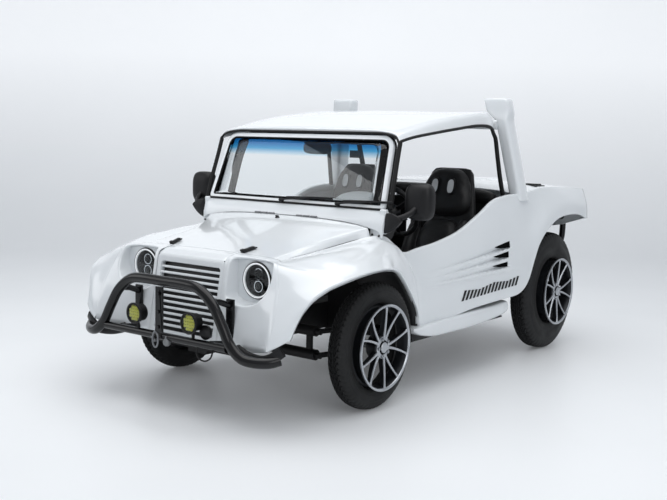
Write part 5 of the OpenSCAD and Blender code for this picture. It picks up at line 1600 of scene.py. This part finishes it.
@dataclass
class BullBar:
    """Bent front bar with its lower tube, stays, tow plate, hook and cable loop."""

    y: float = -790.0

    def build(self, shop: Workshop, looks: Finishes) -> None:
        """Makes the bars and what hangs on them.

        Args:
            shop: puts the pieces together.
            looks: the finishes.
        """
        half = np.array([(0, 0, 664), (150, 0, 664), (240, 0, 650), (325, 0, 588), (385, 0, 500), (436, 0, 416),
                         (500, 4, 364),
                         (560, 22, 350), (620, 60, 350), (655, 100, 362)], float)
        half[:, 1] += self.y
        right = curve(half, 8)
        whole = np.concatenate([(right * [-1, 1, 1])[:0:-1], right])
        bar = Shape().tube(whole, 25, 28)
        lower = np.stack([np.linspace(-420, 420, 40), np.full(40, self.y), np.full(40, 395.0)], 1)
        bar.tube(lower, 19, 24)
        stays = Shape()
        for z0, z1 in ((600, 560), (402, 380)):
            stays.tube(np.array([[310, self.y + 4, z0], [312, -730, z0 - 8], [318, -640, z1]], float), 15, 16)
        stays.block((292, -668, 352), (344, -656, 600), 5)
        guard = np.array([[392, -690, 372], [470, -706, 352], [560, -716, 348], [620, -712, 366], [668, -694, 404]],
                         float)
        bar.join(stays.mirrored())
        shop.piece("wing_guards", Shape().sweep(curve(guard, 8), superellipse(12, 26, 20), (0, 0, 1)).mirrored(),
                   [looks.abs_moulded])
        shop.piece("bull_bar_tubes", bar, [looks.enamel_stoved], stands_for=["bull_bar"])
        self.tow(shop, looks)

    def tow(self, shop: Workshop, looks: Finishes) -> None:
        """Tow plate with its A-shaped gusset and bolts, the towing eye, its arm, hook ball and cable loop.

        Args:
            shop: puts the pieces together.
            looks: the finishes.
        """
        y = self.y
        plate = Shape().block((-27, y - 31, 420), (27, y - 24, 640), 3)
        gusset = np.array([(-24, 424), (24, 424), (13, 540), (5, 626), (-5, 626), (-13, 540)], float)
        ring = closed_curve(gusset, 1)
        wide, deep = np.array([1, 1, 0.94])[:, None], np.array([0, 3, 4.0])[:, None]
        plate.loft(np.stack(np.broadcast_arrays(ring[:, 0] * wide, y - 31 - deep, ring[:, 1]), -1))
        for z in (446, 520, 608):
            plate.turned([(0, 0.1), (0, 9.5), (7, 9.5), (8.5, 8), (8.5, 0.1)], (0, y - 34, z), (0, -1, 0), 6)
        shop.piece("tow_plate", plate, [looks.enamel_stoved], stands_for=["tow_bracket"])
        arm = np.array([[-96, -790, 398], [-62, -802, 386], [-25, -820, 372]], float)
        eye = Shape().sweep(curve(arm, 6), superellipse(9, 4.5, 14), (0, 0, 1))
        a = np.linspace(0, 2 * math.pi, 41)[:-1]
        loop = np.stack([-25 + 19 * np.cos(a), np.full(40, -820.3), 381 + 38 * np.sin(a)], 1)
        eye.tube(loop, 4.8, 12, closed=True)
        shop.piece("tow_eye_ring", eye, [looks.steel_ground])
        ball = Shape().turned([(-20, 0.1), (-19, 9), (-12, 17), (0, 20), (12, 17), (17, 11), (20, 10), (30, 10),
                               (30, 0.1)],
                              (34, -800, 372), (0, 0, 1), 32)
        shop.piece("tow_ball", ball, [looks.aluminium_sand_cast])
        horn = Shape().turned([(-14, 0.1), (-14, 26), (-4, 34), (10, 36), (12, 30), (8, 10), (8, 0.1)],
                              (250, -752, 444),
                              (0, -1, 0), 32)
        shop.piece("horn", horn, [looks.lamp_housing_moulded])
        cable = curve(np.array([[232, -788, 378], [228, -792, 352], [246, -797, 326], [284, -797, 318],
                                [316, -794, 334],
                                [322, -786, 358], [318, -780, 380]], float), 8)
        shape = Shape().tube(cable, 4, 10)
        made = shop.piece("winch_cable", shape, [looks.epdm_extruded])


@dataclass
class Sides:
    """Door mirrors, side steps and the plain stripe graphic on each side."""

    def build(self, shop: Workshop, looks: Finishes, shell: BodyShell) -> None:
        """Makes the mirrors, the steps and the stripes.

        Args:
            shop: puts the pieces together.
            looks: the finishes.
            shell: the body's skin, which the stripes follow.
        """
        outline = superellipse(79, 96, 56, 3.6)
        steps = ((-34, 0.35), (-31, 0.62), (-24, 0.84), (-12, 0.96), (4, 1.0), (30, 1.0), (36, 0.985), (36, 0.93),
                 (30, 0.91))
        foot = np.array([(641, 888), (645, 932), (649, 984), (664, 989), (700, 984), (741, 960), (736, 942), (700, 908),
                         (662, 888)],
                        float)
        ring = closed_curve(foot, 3)
        middle = ring.mean(0)
        shape = Shape().loft(stations(outline, (772, 252, 1050), steps))
        shape.loft(stations(ring - middle, (middle[0], 142, middle[1]),
                            ((-12, 0.9), (-10, 0.98), (-6, 1), (6, 1), (10, 0.98), (12, 0.9))))
        shape.tube(curve(np.array([[704, 142, 962], [738, 168, 976], [762, 210, 1000], [770, 244, 1030]], float), 6),
                   15, 16)
        shop.piece("mirror_shells", shape.mirrored(), [looks.abs_moulded], stands_for=["door_mirrors"])
        flat = stations(outline, (772, 283.5, 1050), ((0, 0.92), (0, 0.5), (0, 0.02)))
        shop.piece("mirror_glasses", Shape().loft(flat).mirrored(), [looks.mirror_silvered])
        self.steps(shop, looks)
        self.stripes(shop, looks, shell)

    def steps(self, shop: Workshop, looks: Finishes) -> None:
        """Long white sill steps: a section that tapers to a raised point at the front and is cut off at the rear.

        Args:
            shop: puts the pieces together.
            looks: the finishes.
        """
        side = np.array([[336, 372, 352], [352, 366, 340], [400, 372, 322], [522, 382, 303], [700, 388, 299],
                         [932, 392, 297],
                         [1180, 394, 308], [1318, 400, 321], [1360, 400, 330], [1376, 380, 340]], float)
        s = curve(side, 8)
        y, high, low = s[:, 0], s[:, 1], s[:, 2]
        mid, half = (high + low) / 2, np.maximum((high - low) / 2, 5)
        inner = np.full(len(s), 642.0)
        outer = np.interp(y, (336, 380, 460, 1300, 1376), (716, 742, 750, 750, 742))
        section = superellipse(1, 1, 32, 5)
        rings = np.stack([(inner + outer)[:, None] / 2 + (outer - inner)[:, None] / 2 * section[None, :, 0],
                          np.broadcast_to(y[:, None], (len(s), 32)),
                          mid[:, None] + half[:, None] * section[None, :, 1]], -1)
        shape = Shape().loft(rings)
        shop.piece("sill_steps", shape.mirrored(), [looks.gelcoat_moulded], stands_for=["side_steps"])

    def stripes(self, shop: Workshop, looks: Finishes, shell: BodyShell) -> None:
        """Plain slanted bars near the rear of each door sill: thin sheets laid 0.6 mm off the side skin."""
        shape = Shape()
        for k in range(16):
            y0 = 780 + 40 * k
            tall = 44 + 4 * abs(4 - k % 8)
            u, v = np.meshgrid(np.linspace(0, 18, 4), np.linspace(0, tall, 10), indexing="ij")
            shape.grid(shell.on_side(y0 + u * 1.3 + 0.35 * v, 466 + v + 0.05 * (y0 - 780), 1.2))
        shop.piece("sill_graphic", shape.mirrored(), [looks.epdm_extruded], thick=0.4)


@dataclass
class Cabin:
    """Dashboard, instruments, steering wheel, seats and rear pad."""

    wheel: tuple[float, float, float] = (360.0, 640.0, 960.0)
    lean: float = math.radians(14.0)

    def build(self, shop: Workshop, looks: Finishes) -> None:
        """Makes everything in the cabin."""
        self.dashboard(shop, looks)
        self.steering(shop, looks)
        for side, x in (("left", 345.0), ("right", -345.0)):
            self.seat(shop, looks, side, x)
        self.bench(shop, looks)

    def dashboard(self, shop: Workshop, looks: Finishes) -> None:
        """Padded dashboard: one section in Y and Z carried across the car, with an instrument hood and two dials.

        Args:
            shop: puts the pieces together.
            looks: the finishes.
        """
        section = closed_curve(np.array([(160, 800), (158, 930), (166, 984), (220, 993), (300, 990), (352, 976),
                                         (376, 945),
                                         (370, 900), (340, 850), (300, 800), (230, 796)], float), 4)
        x = np.linspace(-588, 588, 50)
        ease = np.clip(1 - (np.abs(x) / 592) ** 30, 0.6, 1)
        middle = section.mean(0)
        flat = middle + (section - middle) * ease[:, None, None]
        rings = np.stack(np.broadcast_arrays(x[:, None], flat[..., 0], flat[..., 1]), -1)
        shop.piece("dash_pad", Shape().loft(rings), [looks.vinyl_grained], stands_for=["dashboard"])
        hood = Shape()
        a = np.linspace(0, math.pi, 33)
        y, wide, high = np.array([(196, 60, 14), (206, 100, 52), (222, 116, 76), (250, 122, 86), (290, 124, 90),
                                  (330, 124, 92), (336, 122, 90), (336, 116, 84), (326, 114, 82), (262, 110, 76)],
                                 float).T[..., None]
        across = 360 + wide * np.sign(np.cos(a)) * np.abs(np.cos(a)) ** 0.7
        hood.grid(np.stack(np.broadcast_arrays(across, y, 986 + high * np.sin(a) ** 0.8), -1))
        shop.piece("instrument_hood", hood, [looks.satin_paint_sprayed], thick=3)
        dials, faces = Shape(), Shape()
        for x in (306, 414):
            dials.turned([(-10, 46), (6, 50), (10, 49), (10, 45), (0, 43)], (x, 306, 1012), (0, 0.94, 0.34), 48)
            faces.turned([(0, 43.5), (1, 20), (1.2, 6), (5, 5), (5, 0.1)], (x, 306, 1012), (0, 0.94, 0.34), 48)
        shop.piece("dial_rims", dials, [looks.chrome_plated])
        shop.piece("dial_faces", faces, [looks.lamp_housing_moulded])

    def steering(self, shop: Workshop, looks: Finishes) -> None:
        """Steering wheel with a padded rim, three drilled spokes and a hub pad, and its column with stalks.

        Args:
            shop: puts the pieces together.
            looks: the finishes.
        """
        c = np.array(self.wheel)
        n = np.array([0, 0.882948, 0.469472])
        u, v = np.array([1.0, 0, 0]), np.cross(n, [1.0, 0, 0])
        a = np.arange(96) / 96 * 2 * math.pi
        line = c + 155 * (np.cos(a)[:, None] * u + np.sin(a)[:, None] * v)
        rim = Shape().tube(line, 14.5 + 0.9 * np.cos(a * 24), 20, closed=True)
        shop.piece("wheel_rim", rim, [looks.vinyl_grained], "wheel_for_driver", ["steering_wheel"])
        hub = Shape().turned([(-46, 0.1), (-46, 26), (-26, 44), (-6, 50), (6, 48), (13, 40), (16, 20), (17, 0.1)], c, n,
                             40)
        for k in (90, 210, 330):
            w = math.radians(k)
            out = math.cos(w) * u + math.sin(w) * v
            path = np.array([c + out * r + n * d for r, d in ((38, -10), (70, -12), (110, -7), (144, 0))])
            hub.sweep(curve(path, 6), superellipse(13, 3.2, 16), n)
        shop.piece("wheel_hub", hub, [looks.lamp_housing_moulded], "wheel_for_driver")
        column = Shape().turned([(-470, 0.1), (-470, 18), (-200, 18), (-195, 34), (-90, 38), (-52, 34), (-50, 0.1)], c,
                                n, 32)
        for side in (-1, 1):
            root = c - n * 88 + side * u * 30
            path = np.array([root, root + side * u * 60, root + side * u * 110 + n * 14])
            column.tube(curve(path, 5), np.linspace(7, 4.5, 11), 10)
        shop.piece("column_shroud", column, [looks.abs_moulded], stands_for=["steering_column"])

    def pillow(self, half: tuple[float, float], thick: float, bulge: float, edge: float, n: int = 44) -> Array:
        """A stuffed pad drawn flat, as rings (across, up, out) from the middle of its back to the middle of its front.

        Each ring is the pad's rounded outline at a share of its size; its height is thick * sqrt(1 - share ** 4)
        on the front, plus a bulge that fades outwards, and nearly flat on the back.

        Args:
            half: half its width and half its height.
            thick: its thickness.
            bulge: how much further its middle stands out.
            edge: power of its outline.
            n: half the points of a ring.
        Returns:
            Its rings.
        """
        outline = superellipse(half[0], half[1], n * 2, edge)
        rings = []
        for s in (0.05, 0.4, 0.8, 0.95, 0.99):
            rings.append(np.column_stack([outline * s, np.full(len(outline), thick * 0.06 * (s > 0.97))]))
        for s in np.sin(np.linspace(math.pi / 2, 0.03, 22)):
            high = thick * (1 - s**6) ** 0.5 * 0.9 + thick * 0.08 + bulge * (1 - s**2)
            rings.append(np.column_stack([outline * min(s, 1.0), np.full(len(outline), high)]))
        return np.array(rings)

    def stuffed(self, shop: Workshop, name: str, shape: Shape, finish: bpy.types.Material, cap: float,
                stands_for: Sequence[str] = (), cell: float = 0.011) -> bpy.types.Object:
        """Makes a padded piece and swells its cover by a cloth simulation.

        Args:
            name: the piece's name.
            shape: the pad before it is filled.
            finish: its cover's material.
            cap: how far the filling may push the cover out, in millimetres.
            stands_for: CAD nodes that it replaces.
            cell: size of the cover's mesh, in metres.
        Returns:
            The piece.
        """
        obj = shop.piece(name, shape, [finish], stands_for=stands_for, sharp=180)
        fine = obj.modifiers.new("remesh", "REMESH")
        fine.mode, fine.voxel_size, fine.use_smooth_shade = "VOXEL", cell, True
        self.bake(obj)
        before = self.points(obj)
        cloth = obj.modifiers.new("cloth", "CLOTH")
        cloth.settings.quality = 5
        cloth.settings.mass = 0.4
        cloth.settings.tension_stiffness = cloth.settings.compression_stiffness = 18.0
        cloth.settings.use_pressure = True
        cloth.settings.uniform_pressure_force = 4.0
        cloth.settings.effector_weights.gravity = 0.0
        cloth.point_cache.frame_start, cloth.point_cache.frame_end = 1, 14
        for frame in range(1, 15):
            bpy.context.scene.frame_set(frame)
            bpy.context.view_layer.update()
        self.bake(obj)
        bpy.context.scene.frame_set(1)
        after = self.points(obj)
        move = after - before
        far = np.linalg.norm(move, axis=1, keepdims=True)
        after = before + move * np.minimum(1, cap * MM / np.maximum(far, 1e-9))
        obj.data.vertices.foreach_set("co", after.astype(np.float32).ravel())
        obj.data.update()
        obj.data.shade_smooth()
        smooth = obj.modifiers.new("smooth", "SUBSURF")
        smooth.levels = smooth.render_levels = 1
        LOG.info("%s: cover moved %.1f mm at most", name, float(far.max()) / MM)
        return obj

    def points(self, obj: bpy.types.Object) -> Array:
        """The object's vertices."""
        flat = np.empty(len(obj.data.vertices) * 3, np.float32)
        obj.data.vertices.foreach_get("co", flat)
        return flat.reshape(-1, 3).astype(float)

    def bake(self, obj: bpy.types.Object) -> None:
        """Puts the object's modifiers into its mesh."""
        shown = obj.evaluated_get(bpy.context.evaluated_depsgraph_get())
        mesh = bpy.data.meshes.new_from_object(shown)
        mesh.name = obj.name
        obj.modifiers.clear()
        obj.data = mesh

    def seat(self, shop: Workshop, looks: Finishes, side: str, x: float) -> None:
        """A high-backed bucket seat: base, bolstered cushion and backrest, head part with two harness slots.

        Args:
            shop: puts the pieces together.
            looks: the finishes.
            side: left or right.
            x: its middle.
        """
        c, s = math.cos(self.lean), math.sin(self.lean)

        def on_back(p: Array) -> Array:
            """Points (across, up the backrest, out of it) in place, facing forward."""
            return np.stack([x + p[..., 0], 1116 + p[..., 1] * s - p[..., 2] * c, 352 + p[..., 1] * c + p[..., 2] * s],
                            -1)

        def on_base(p: Array) -> Array:
            """Points (across, back, up) in place on the seat's base."""
            return np.stack([x + p[..., 0], 800 + p[..., 1], 318 + p[..., 2] + 0.06 * -p[..., 1]], -1)

        cushion = Shape().loft(on_base(self.pillow((150, 222), 74, 10, 3.6) * [1, 1, 1]))
        for edge in (-1, 1):
            y = np.linspace(-206, 214, 14)
            path = np.stack([np.full(14, edge * 186.0), y, 52 + 26 * np.sin((y + 230) / 460 * math.pi)], 1)
            radii = 44 * np.clip(np.sin(np.linspace(0.35, math.pi - 0.35, 14)) * 1.4, 0.5, 1)
            cushion.tube(on_base(path), radii, 20)
        self.stuffed(shop, f"seat_cushion_{side}", cushion, looks.vinyl_grained, 14, [f"seat_{side}"])
        back = Shape().loft(on_back(self.pillow((146, 262), 60, 12, 3.4) + [0, 296, 20]))
        for edge in (-1, 1):
            t = np.linspace(0, 1, 16)
            path = np.stack([edge * (188 - 10 * t), 50 + 490 * t, 50 + 34 * np.sin(t * math.pi)], 1)
            radii = 45 * np.clip(np.sin(np.linspace(0.35, math.pi - 0.35, 16)) * 1.5, 0.5, 1)
            back.tube(on_back(path), radii, 20)
        self.stuffed(shop, f"seat_backrest_{side}", back, looks.vinyl_grained, 14)
        head = self.pillow((178, 160), 58, 6, 2.8)
        head[..., 0] *= 1 - 0.2 * head[..., 1] / 160
        self.stuffed(shop, f"seat_head_{side}", Shape().loft(on_back(head + [0, 712, 12])), looks.vinyl_grained, 6)
        shell = []
        for up, wide, deep in ((-40, 190, 60), (0, 212, 66), (150, 222, 66), (400, 222, 62), (540, 212, 56),
                               (620, 196, 50),
                               (740, 172, 48), (840, 146, 44), (866, 124, 34), (872, 96, 22)):
            out = superellipse(wide, deep / 2, 48, 4)
            shell.append(np.stack([out[:, 0], np.full(48, float(up)), out[:, 1] - 6], 1))
        back_shell = Shape().loft(on_back(np.array(shell)))
        low, high = (x - 205, 600, 276), (x + 205, 1030, 326)
        back_shell.block(low, high, 18)
        shop.piece(f"seat_shell_{side}", back_shell, [looks.vinyl_grained])
        slots, opening = Shape(), Shape()
        ring = superellipse(22, 42, 32, 2.6)
        for dx in (-56, 56):
            # stations gives (across, out, up); the backrest is drawn as (across, up, out)
            lip = stations(ring, (dx, 0, 738), ((60, 1.3), (91, 1.24), (95, 1.1), (92, 1.0), (60, 0.96)))
            slots.grid(on_back(lip[..., [0, 2, 1]]), wrap=True)
            plug = stations(ring, (dx, 0, 738), ((60, 1.0), (91.5, 1.0), (91.5, 0.0)))
            opening.grid(on_back(plug[..., [0, 2, 1]]), wrap=True)
        shop.piece(f"harness_slots_{side}", slots, [looks.lamp_housing_moulded])
        shop.piece(f"harness_linings_{side}", opening, [looks.satin_paint_sprayed])

    def bench(self, shop: Workshop, looks: Finishes) -> None:
        """Padded roll along the front edge of the rear deck, behind the seats."""
        x = np.linspace(-592, 592, 60)
        mid_z = 1098 - 46 - 34 * (np.abs(x) / 592) ** 2.2
        half_y = 34 * np.clip(1 - (np.abs(x) / 600) ** 18, 0.2, 1) ** 0.5
        section = superellipse(1, 1, 32, 2.8)
        rings = np.stack([np.broadcast_to(x[:, None], (60, 32)), 1438 + half_y[:, None] * section[None, :, 0],
                          mid_z[:, None] + 42 * section[None, :, 1] * (half_y[:, None] / 34)], -1)
        self.stuffed(shop, "rear_pad", Shape().loft(rings), looks.vinyl_grained, 6, ["rear_bench"])


@dataclass
class Underneath:
    """The CAD's own chassis and running gear, which keep their exact form and take a finish each."""

    coats: dict = field(default_factory=lambda: {
        "chassis": "chassis_coat_brushed", "boot_tray": "carpet_tufted", "front_axle": "chassis_coat_brushed",
        "knuckle_left": "aluminium_sand_cast", "knuckle_right": "aluminium_sand_cast",
        "rear_axle": "aluminium_sand_cast", "engine": "aluminium_sand_cast", "exhaust": "steel_heat_tinted",
    })

    def build(self, looks: Finishes) -> None:
        """Puts a finish on each CAD node that stays in view."""
        for node, finish in self.coats.items():
            obj = bpy.data.objects[node]
            obj.data.materials.clear()
            obj.data.materials.append(getattr(looks, finish))


@dataclass
class Studio:
    """Pale floor that curves up into a backdrop, soft lights, and the camera."""

    spot: tuple[float, float, float] = (3.411, -4.7765, 1.365)
    turn: float = -0.645
    dip: float = -0.115
    roll: float = 0.024
    lens: float = 52.19

    def build(self, looks: Finishes) -> None:
        """Makes the floor, the sky light, the lamps and the camera.

        Args:
            looks: the finishes.
        """
        self.floor()
        world = bpy.data.worlds.new("studio")
        world.use_nodes = True
        glow = world.node_tree.nodes["Background"]
        glow.inputs["Color"].default_value = (0.9, 0.94, 1.0, 1.0)
        glow.inputs["Strength"].default_value = 0.5
        bpy.context.scene.world = world
        self.light("overhead", (0.4, -0.6, 4.6), (5.5, 5.0), 175.0, (0.0, 0.0, 0.6))
        self.light("front_left", (5.2, -4.2, 3.4), (3.6, 3.0), 72.0, (0.3, -0.6, 0.7))
        self.light("front_right", (-4.8, -4.8, 3.2), (3.2, 3.0), 46.0, (0.0, -0.6, 0.7))
        self.camera()
        view = bpy.context.scene.view_settings
        view.view_transform, view.look = "Standard", "None"

    def floor(self) -> None:
        """The floor: flat out to 5 m, then a quarter round of 3 m up into a wall; smooth painted concrete, with painted
        light: it glows more the higher it rises, so the wall is brighter towards its top.
        """
        mat = bpy.data.materials.new("concrete_floor_painted")
        mat.use_nodes = True
        tree = mat.node_tree
        tree.nodes.clear()
        at = add(tree, "TexCoord").outputs["Object"]
        cloud = add(tree, "TexNoise", {"Scale": 0.8, "Detail": 4.0}, Vector=at)
        tint = add(tree, "Mix", {"data_type": "RGBA", 6: linear("#e4e6e8"), 7: linear("#dde0e2")},
                   in0=cloud.outputs["Fac"])
        rough = add(tree, "MapRange", {"To Min": 0.32, "To Max": 0.45}, Value=cloud.outputs["Fac"])
        # painted light: emission from 0.07 on the floor to 0.46 at 2.5 m up the wall, brightening the backdrop towards
        # its top
        high = add(tree, "SeparateXYZ", Vector=at)
        lit = add(tree, "MapRange", {"From Max": 2.5, "To Min": 0.07, "To Max": 0.46}, Value=high.outputs["Z"])
        shader = add(tree, "BsdfPrincipled", {"IOR": 1.3, "Emission Color": linear("#f6f7f9")},
                     Base_Color=tint.outputs[2],
                     Roughness=rough.outputs["Result"], Emission_Strength=lit.outputs["Result"])
        tree.links.new(shader.outputs["BSDF"], add(tree, "OutputMaterial").inputs["Surface"])
        a = np.linspace(0, math.pi / 2, 17)
        profile = np.concatenate([[[-9.0, 0.0]], np.stack([5 + 3 * np.sin(a), 3 - 3 * np.cos(a)], 1), [[8.0, 7.0]]])
        x = np.linspace(-14, 14, 9)
        g = np.stack(np.broadcast_arrays(x[None], profile[:, :1], profile[:, 1:]), -1)
        mesh = bpy.data.meshes.new("floor")
        shape = Shape().grid(g)
        mesh.from_pydata(np.vstack(shape.verts).tolist(), [], np.vstack(shape.faces).tolist())
        mesh.shade_smooth()
        mesh.materials.append(mat)
        obj = bpy.data.objects.new("floor", mesh)
        obj.rotation_euler = (0.0, 0.0, -self.turn)
        bpy.context.scene.collection.objects.link(obj)

    def light(self, name: str, spot: Sequence[float], size: tuple[float, float], power: float,
              aim: Sequence[float]) -> None:
        """A soft rectangular lamp that looks at aim."""
        lamp = bpy.data.lights.new(name, "AREA")
        lamp.shape, lamp.size, lamp.size_y, lamp.energy = "RECTANGLE", size[0], size[1], power
        obj = bpy.data.objects.new(name, lamp)
        obj.location = spot
        obj.rotation_euler = (Vector(aim) - Vector(spot)).to_track_quat("-Z", "Y").to_euler()
        bpy.context.scene.collection.objects.link(obj)

    def camera(self) -> None:
        """The camera, from its yaw, pitch and roll: looking along (cos p sin y, cos p cos y, sin p), then rolled."""
        ahead = np.array([math.cos(self.dip) * math.sin(self.turn), math.cos(self.dip) * math.cos(self.turn),
                          math.sin(self.dip)])
        right = unit(np.cross(ahead, [0, 0, 1.0]))
        up = np.cross(right, ahead)
        c, s = math.cos(self.roll), math.sin(self.roll)
        columns = (c * right + s * up, -s * right + c * up, -ahead)
        cam = bpy.data.cameras.new("camera")
        cam.lens, cam.sensor_width, cam.sensor_fit = self.lens, 36.0, "HORIZONTAL"
        cam.clip_end = 60.0
        obj = bpy.data.objects.new("camera", cam)
        turn = Matrix([[float(col[k]) for col in columns] for k in range(3)]).to_4x4()
        obj.matrix_world = Matrix.Translation(Vector(self.spot)) @ turn
        bpy.context.scene.collection.objects.link(obj)
        bpy.context.scene.camera = obj


@dataclass
class DuneBuggy:
    """The whole car: its parts in the order they are made."""

    shop: Workshop
    looks: Finishes

    def build(self) -> None:
        """Makes every part."""
        shop, looks = self.shop, self.looks
        shell = BodyShell()
        shell.build(shop, looks)
        for part in (Nose(), Bonnet(), Windscreen(), Top(), Tail(), Lamps(), BullBar(), Cabin()):
            LOG.info("making %s", type(part).__name__)
            part.build(shop, looks)
        Sides().build(shop, looks, shell)
        for wheel in self.wheels():
            wheel.build(shop, looks)
        Underneath().build(looks)

    def wheels(self) -> list[Wheel]:
        """The four wheels, all drawn on the left side."""
        front = dict(centre_x=675.0, face_x=770.0, hub_y=0.0, hub_z=326.0, tyre_d=652.0, tyre_w=102.5)
        rear = dict(centre_x=669.0, face_x=791.0, hub_y=2020.0, hub_z=388.5, tyre_d=777.0, tyre_w=132.5)
        return [Wheel(f"{end}_{side}", f"wheel_{end}_{side}", **sizes)
                for end, sizes in (("front", front), ("rear", rear)) for side in ("left", "right")]


def main() -> None:
    """Loads the frame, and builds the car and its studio."""
    logging.basicConfig(level=logging.INFO, format="%(message)s")
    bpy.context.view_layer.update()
    low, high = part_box("tyre_front_left")
    shop = Workshop(axle_y=(low[1] + high[1]) / 2 / MM)
    LOG.info("front axle at %.1f mm", shop.axle_y)
    looks = Finishes()
    DuneBuggy(shop, looks).build()
    Studio().build(looks)


if __name__ == "__main__":
    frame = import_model()
    main()
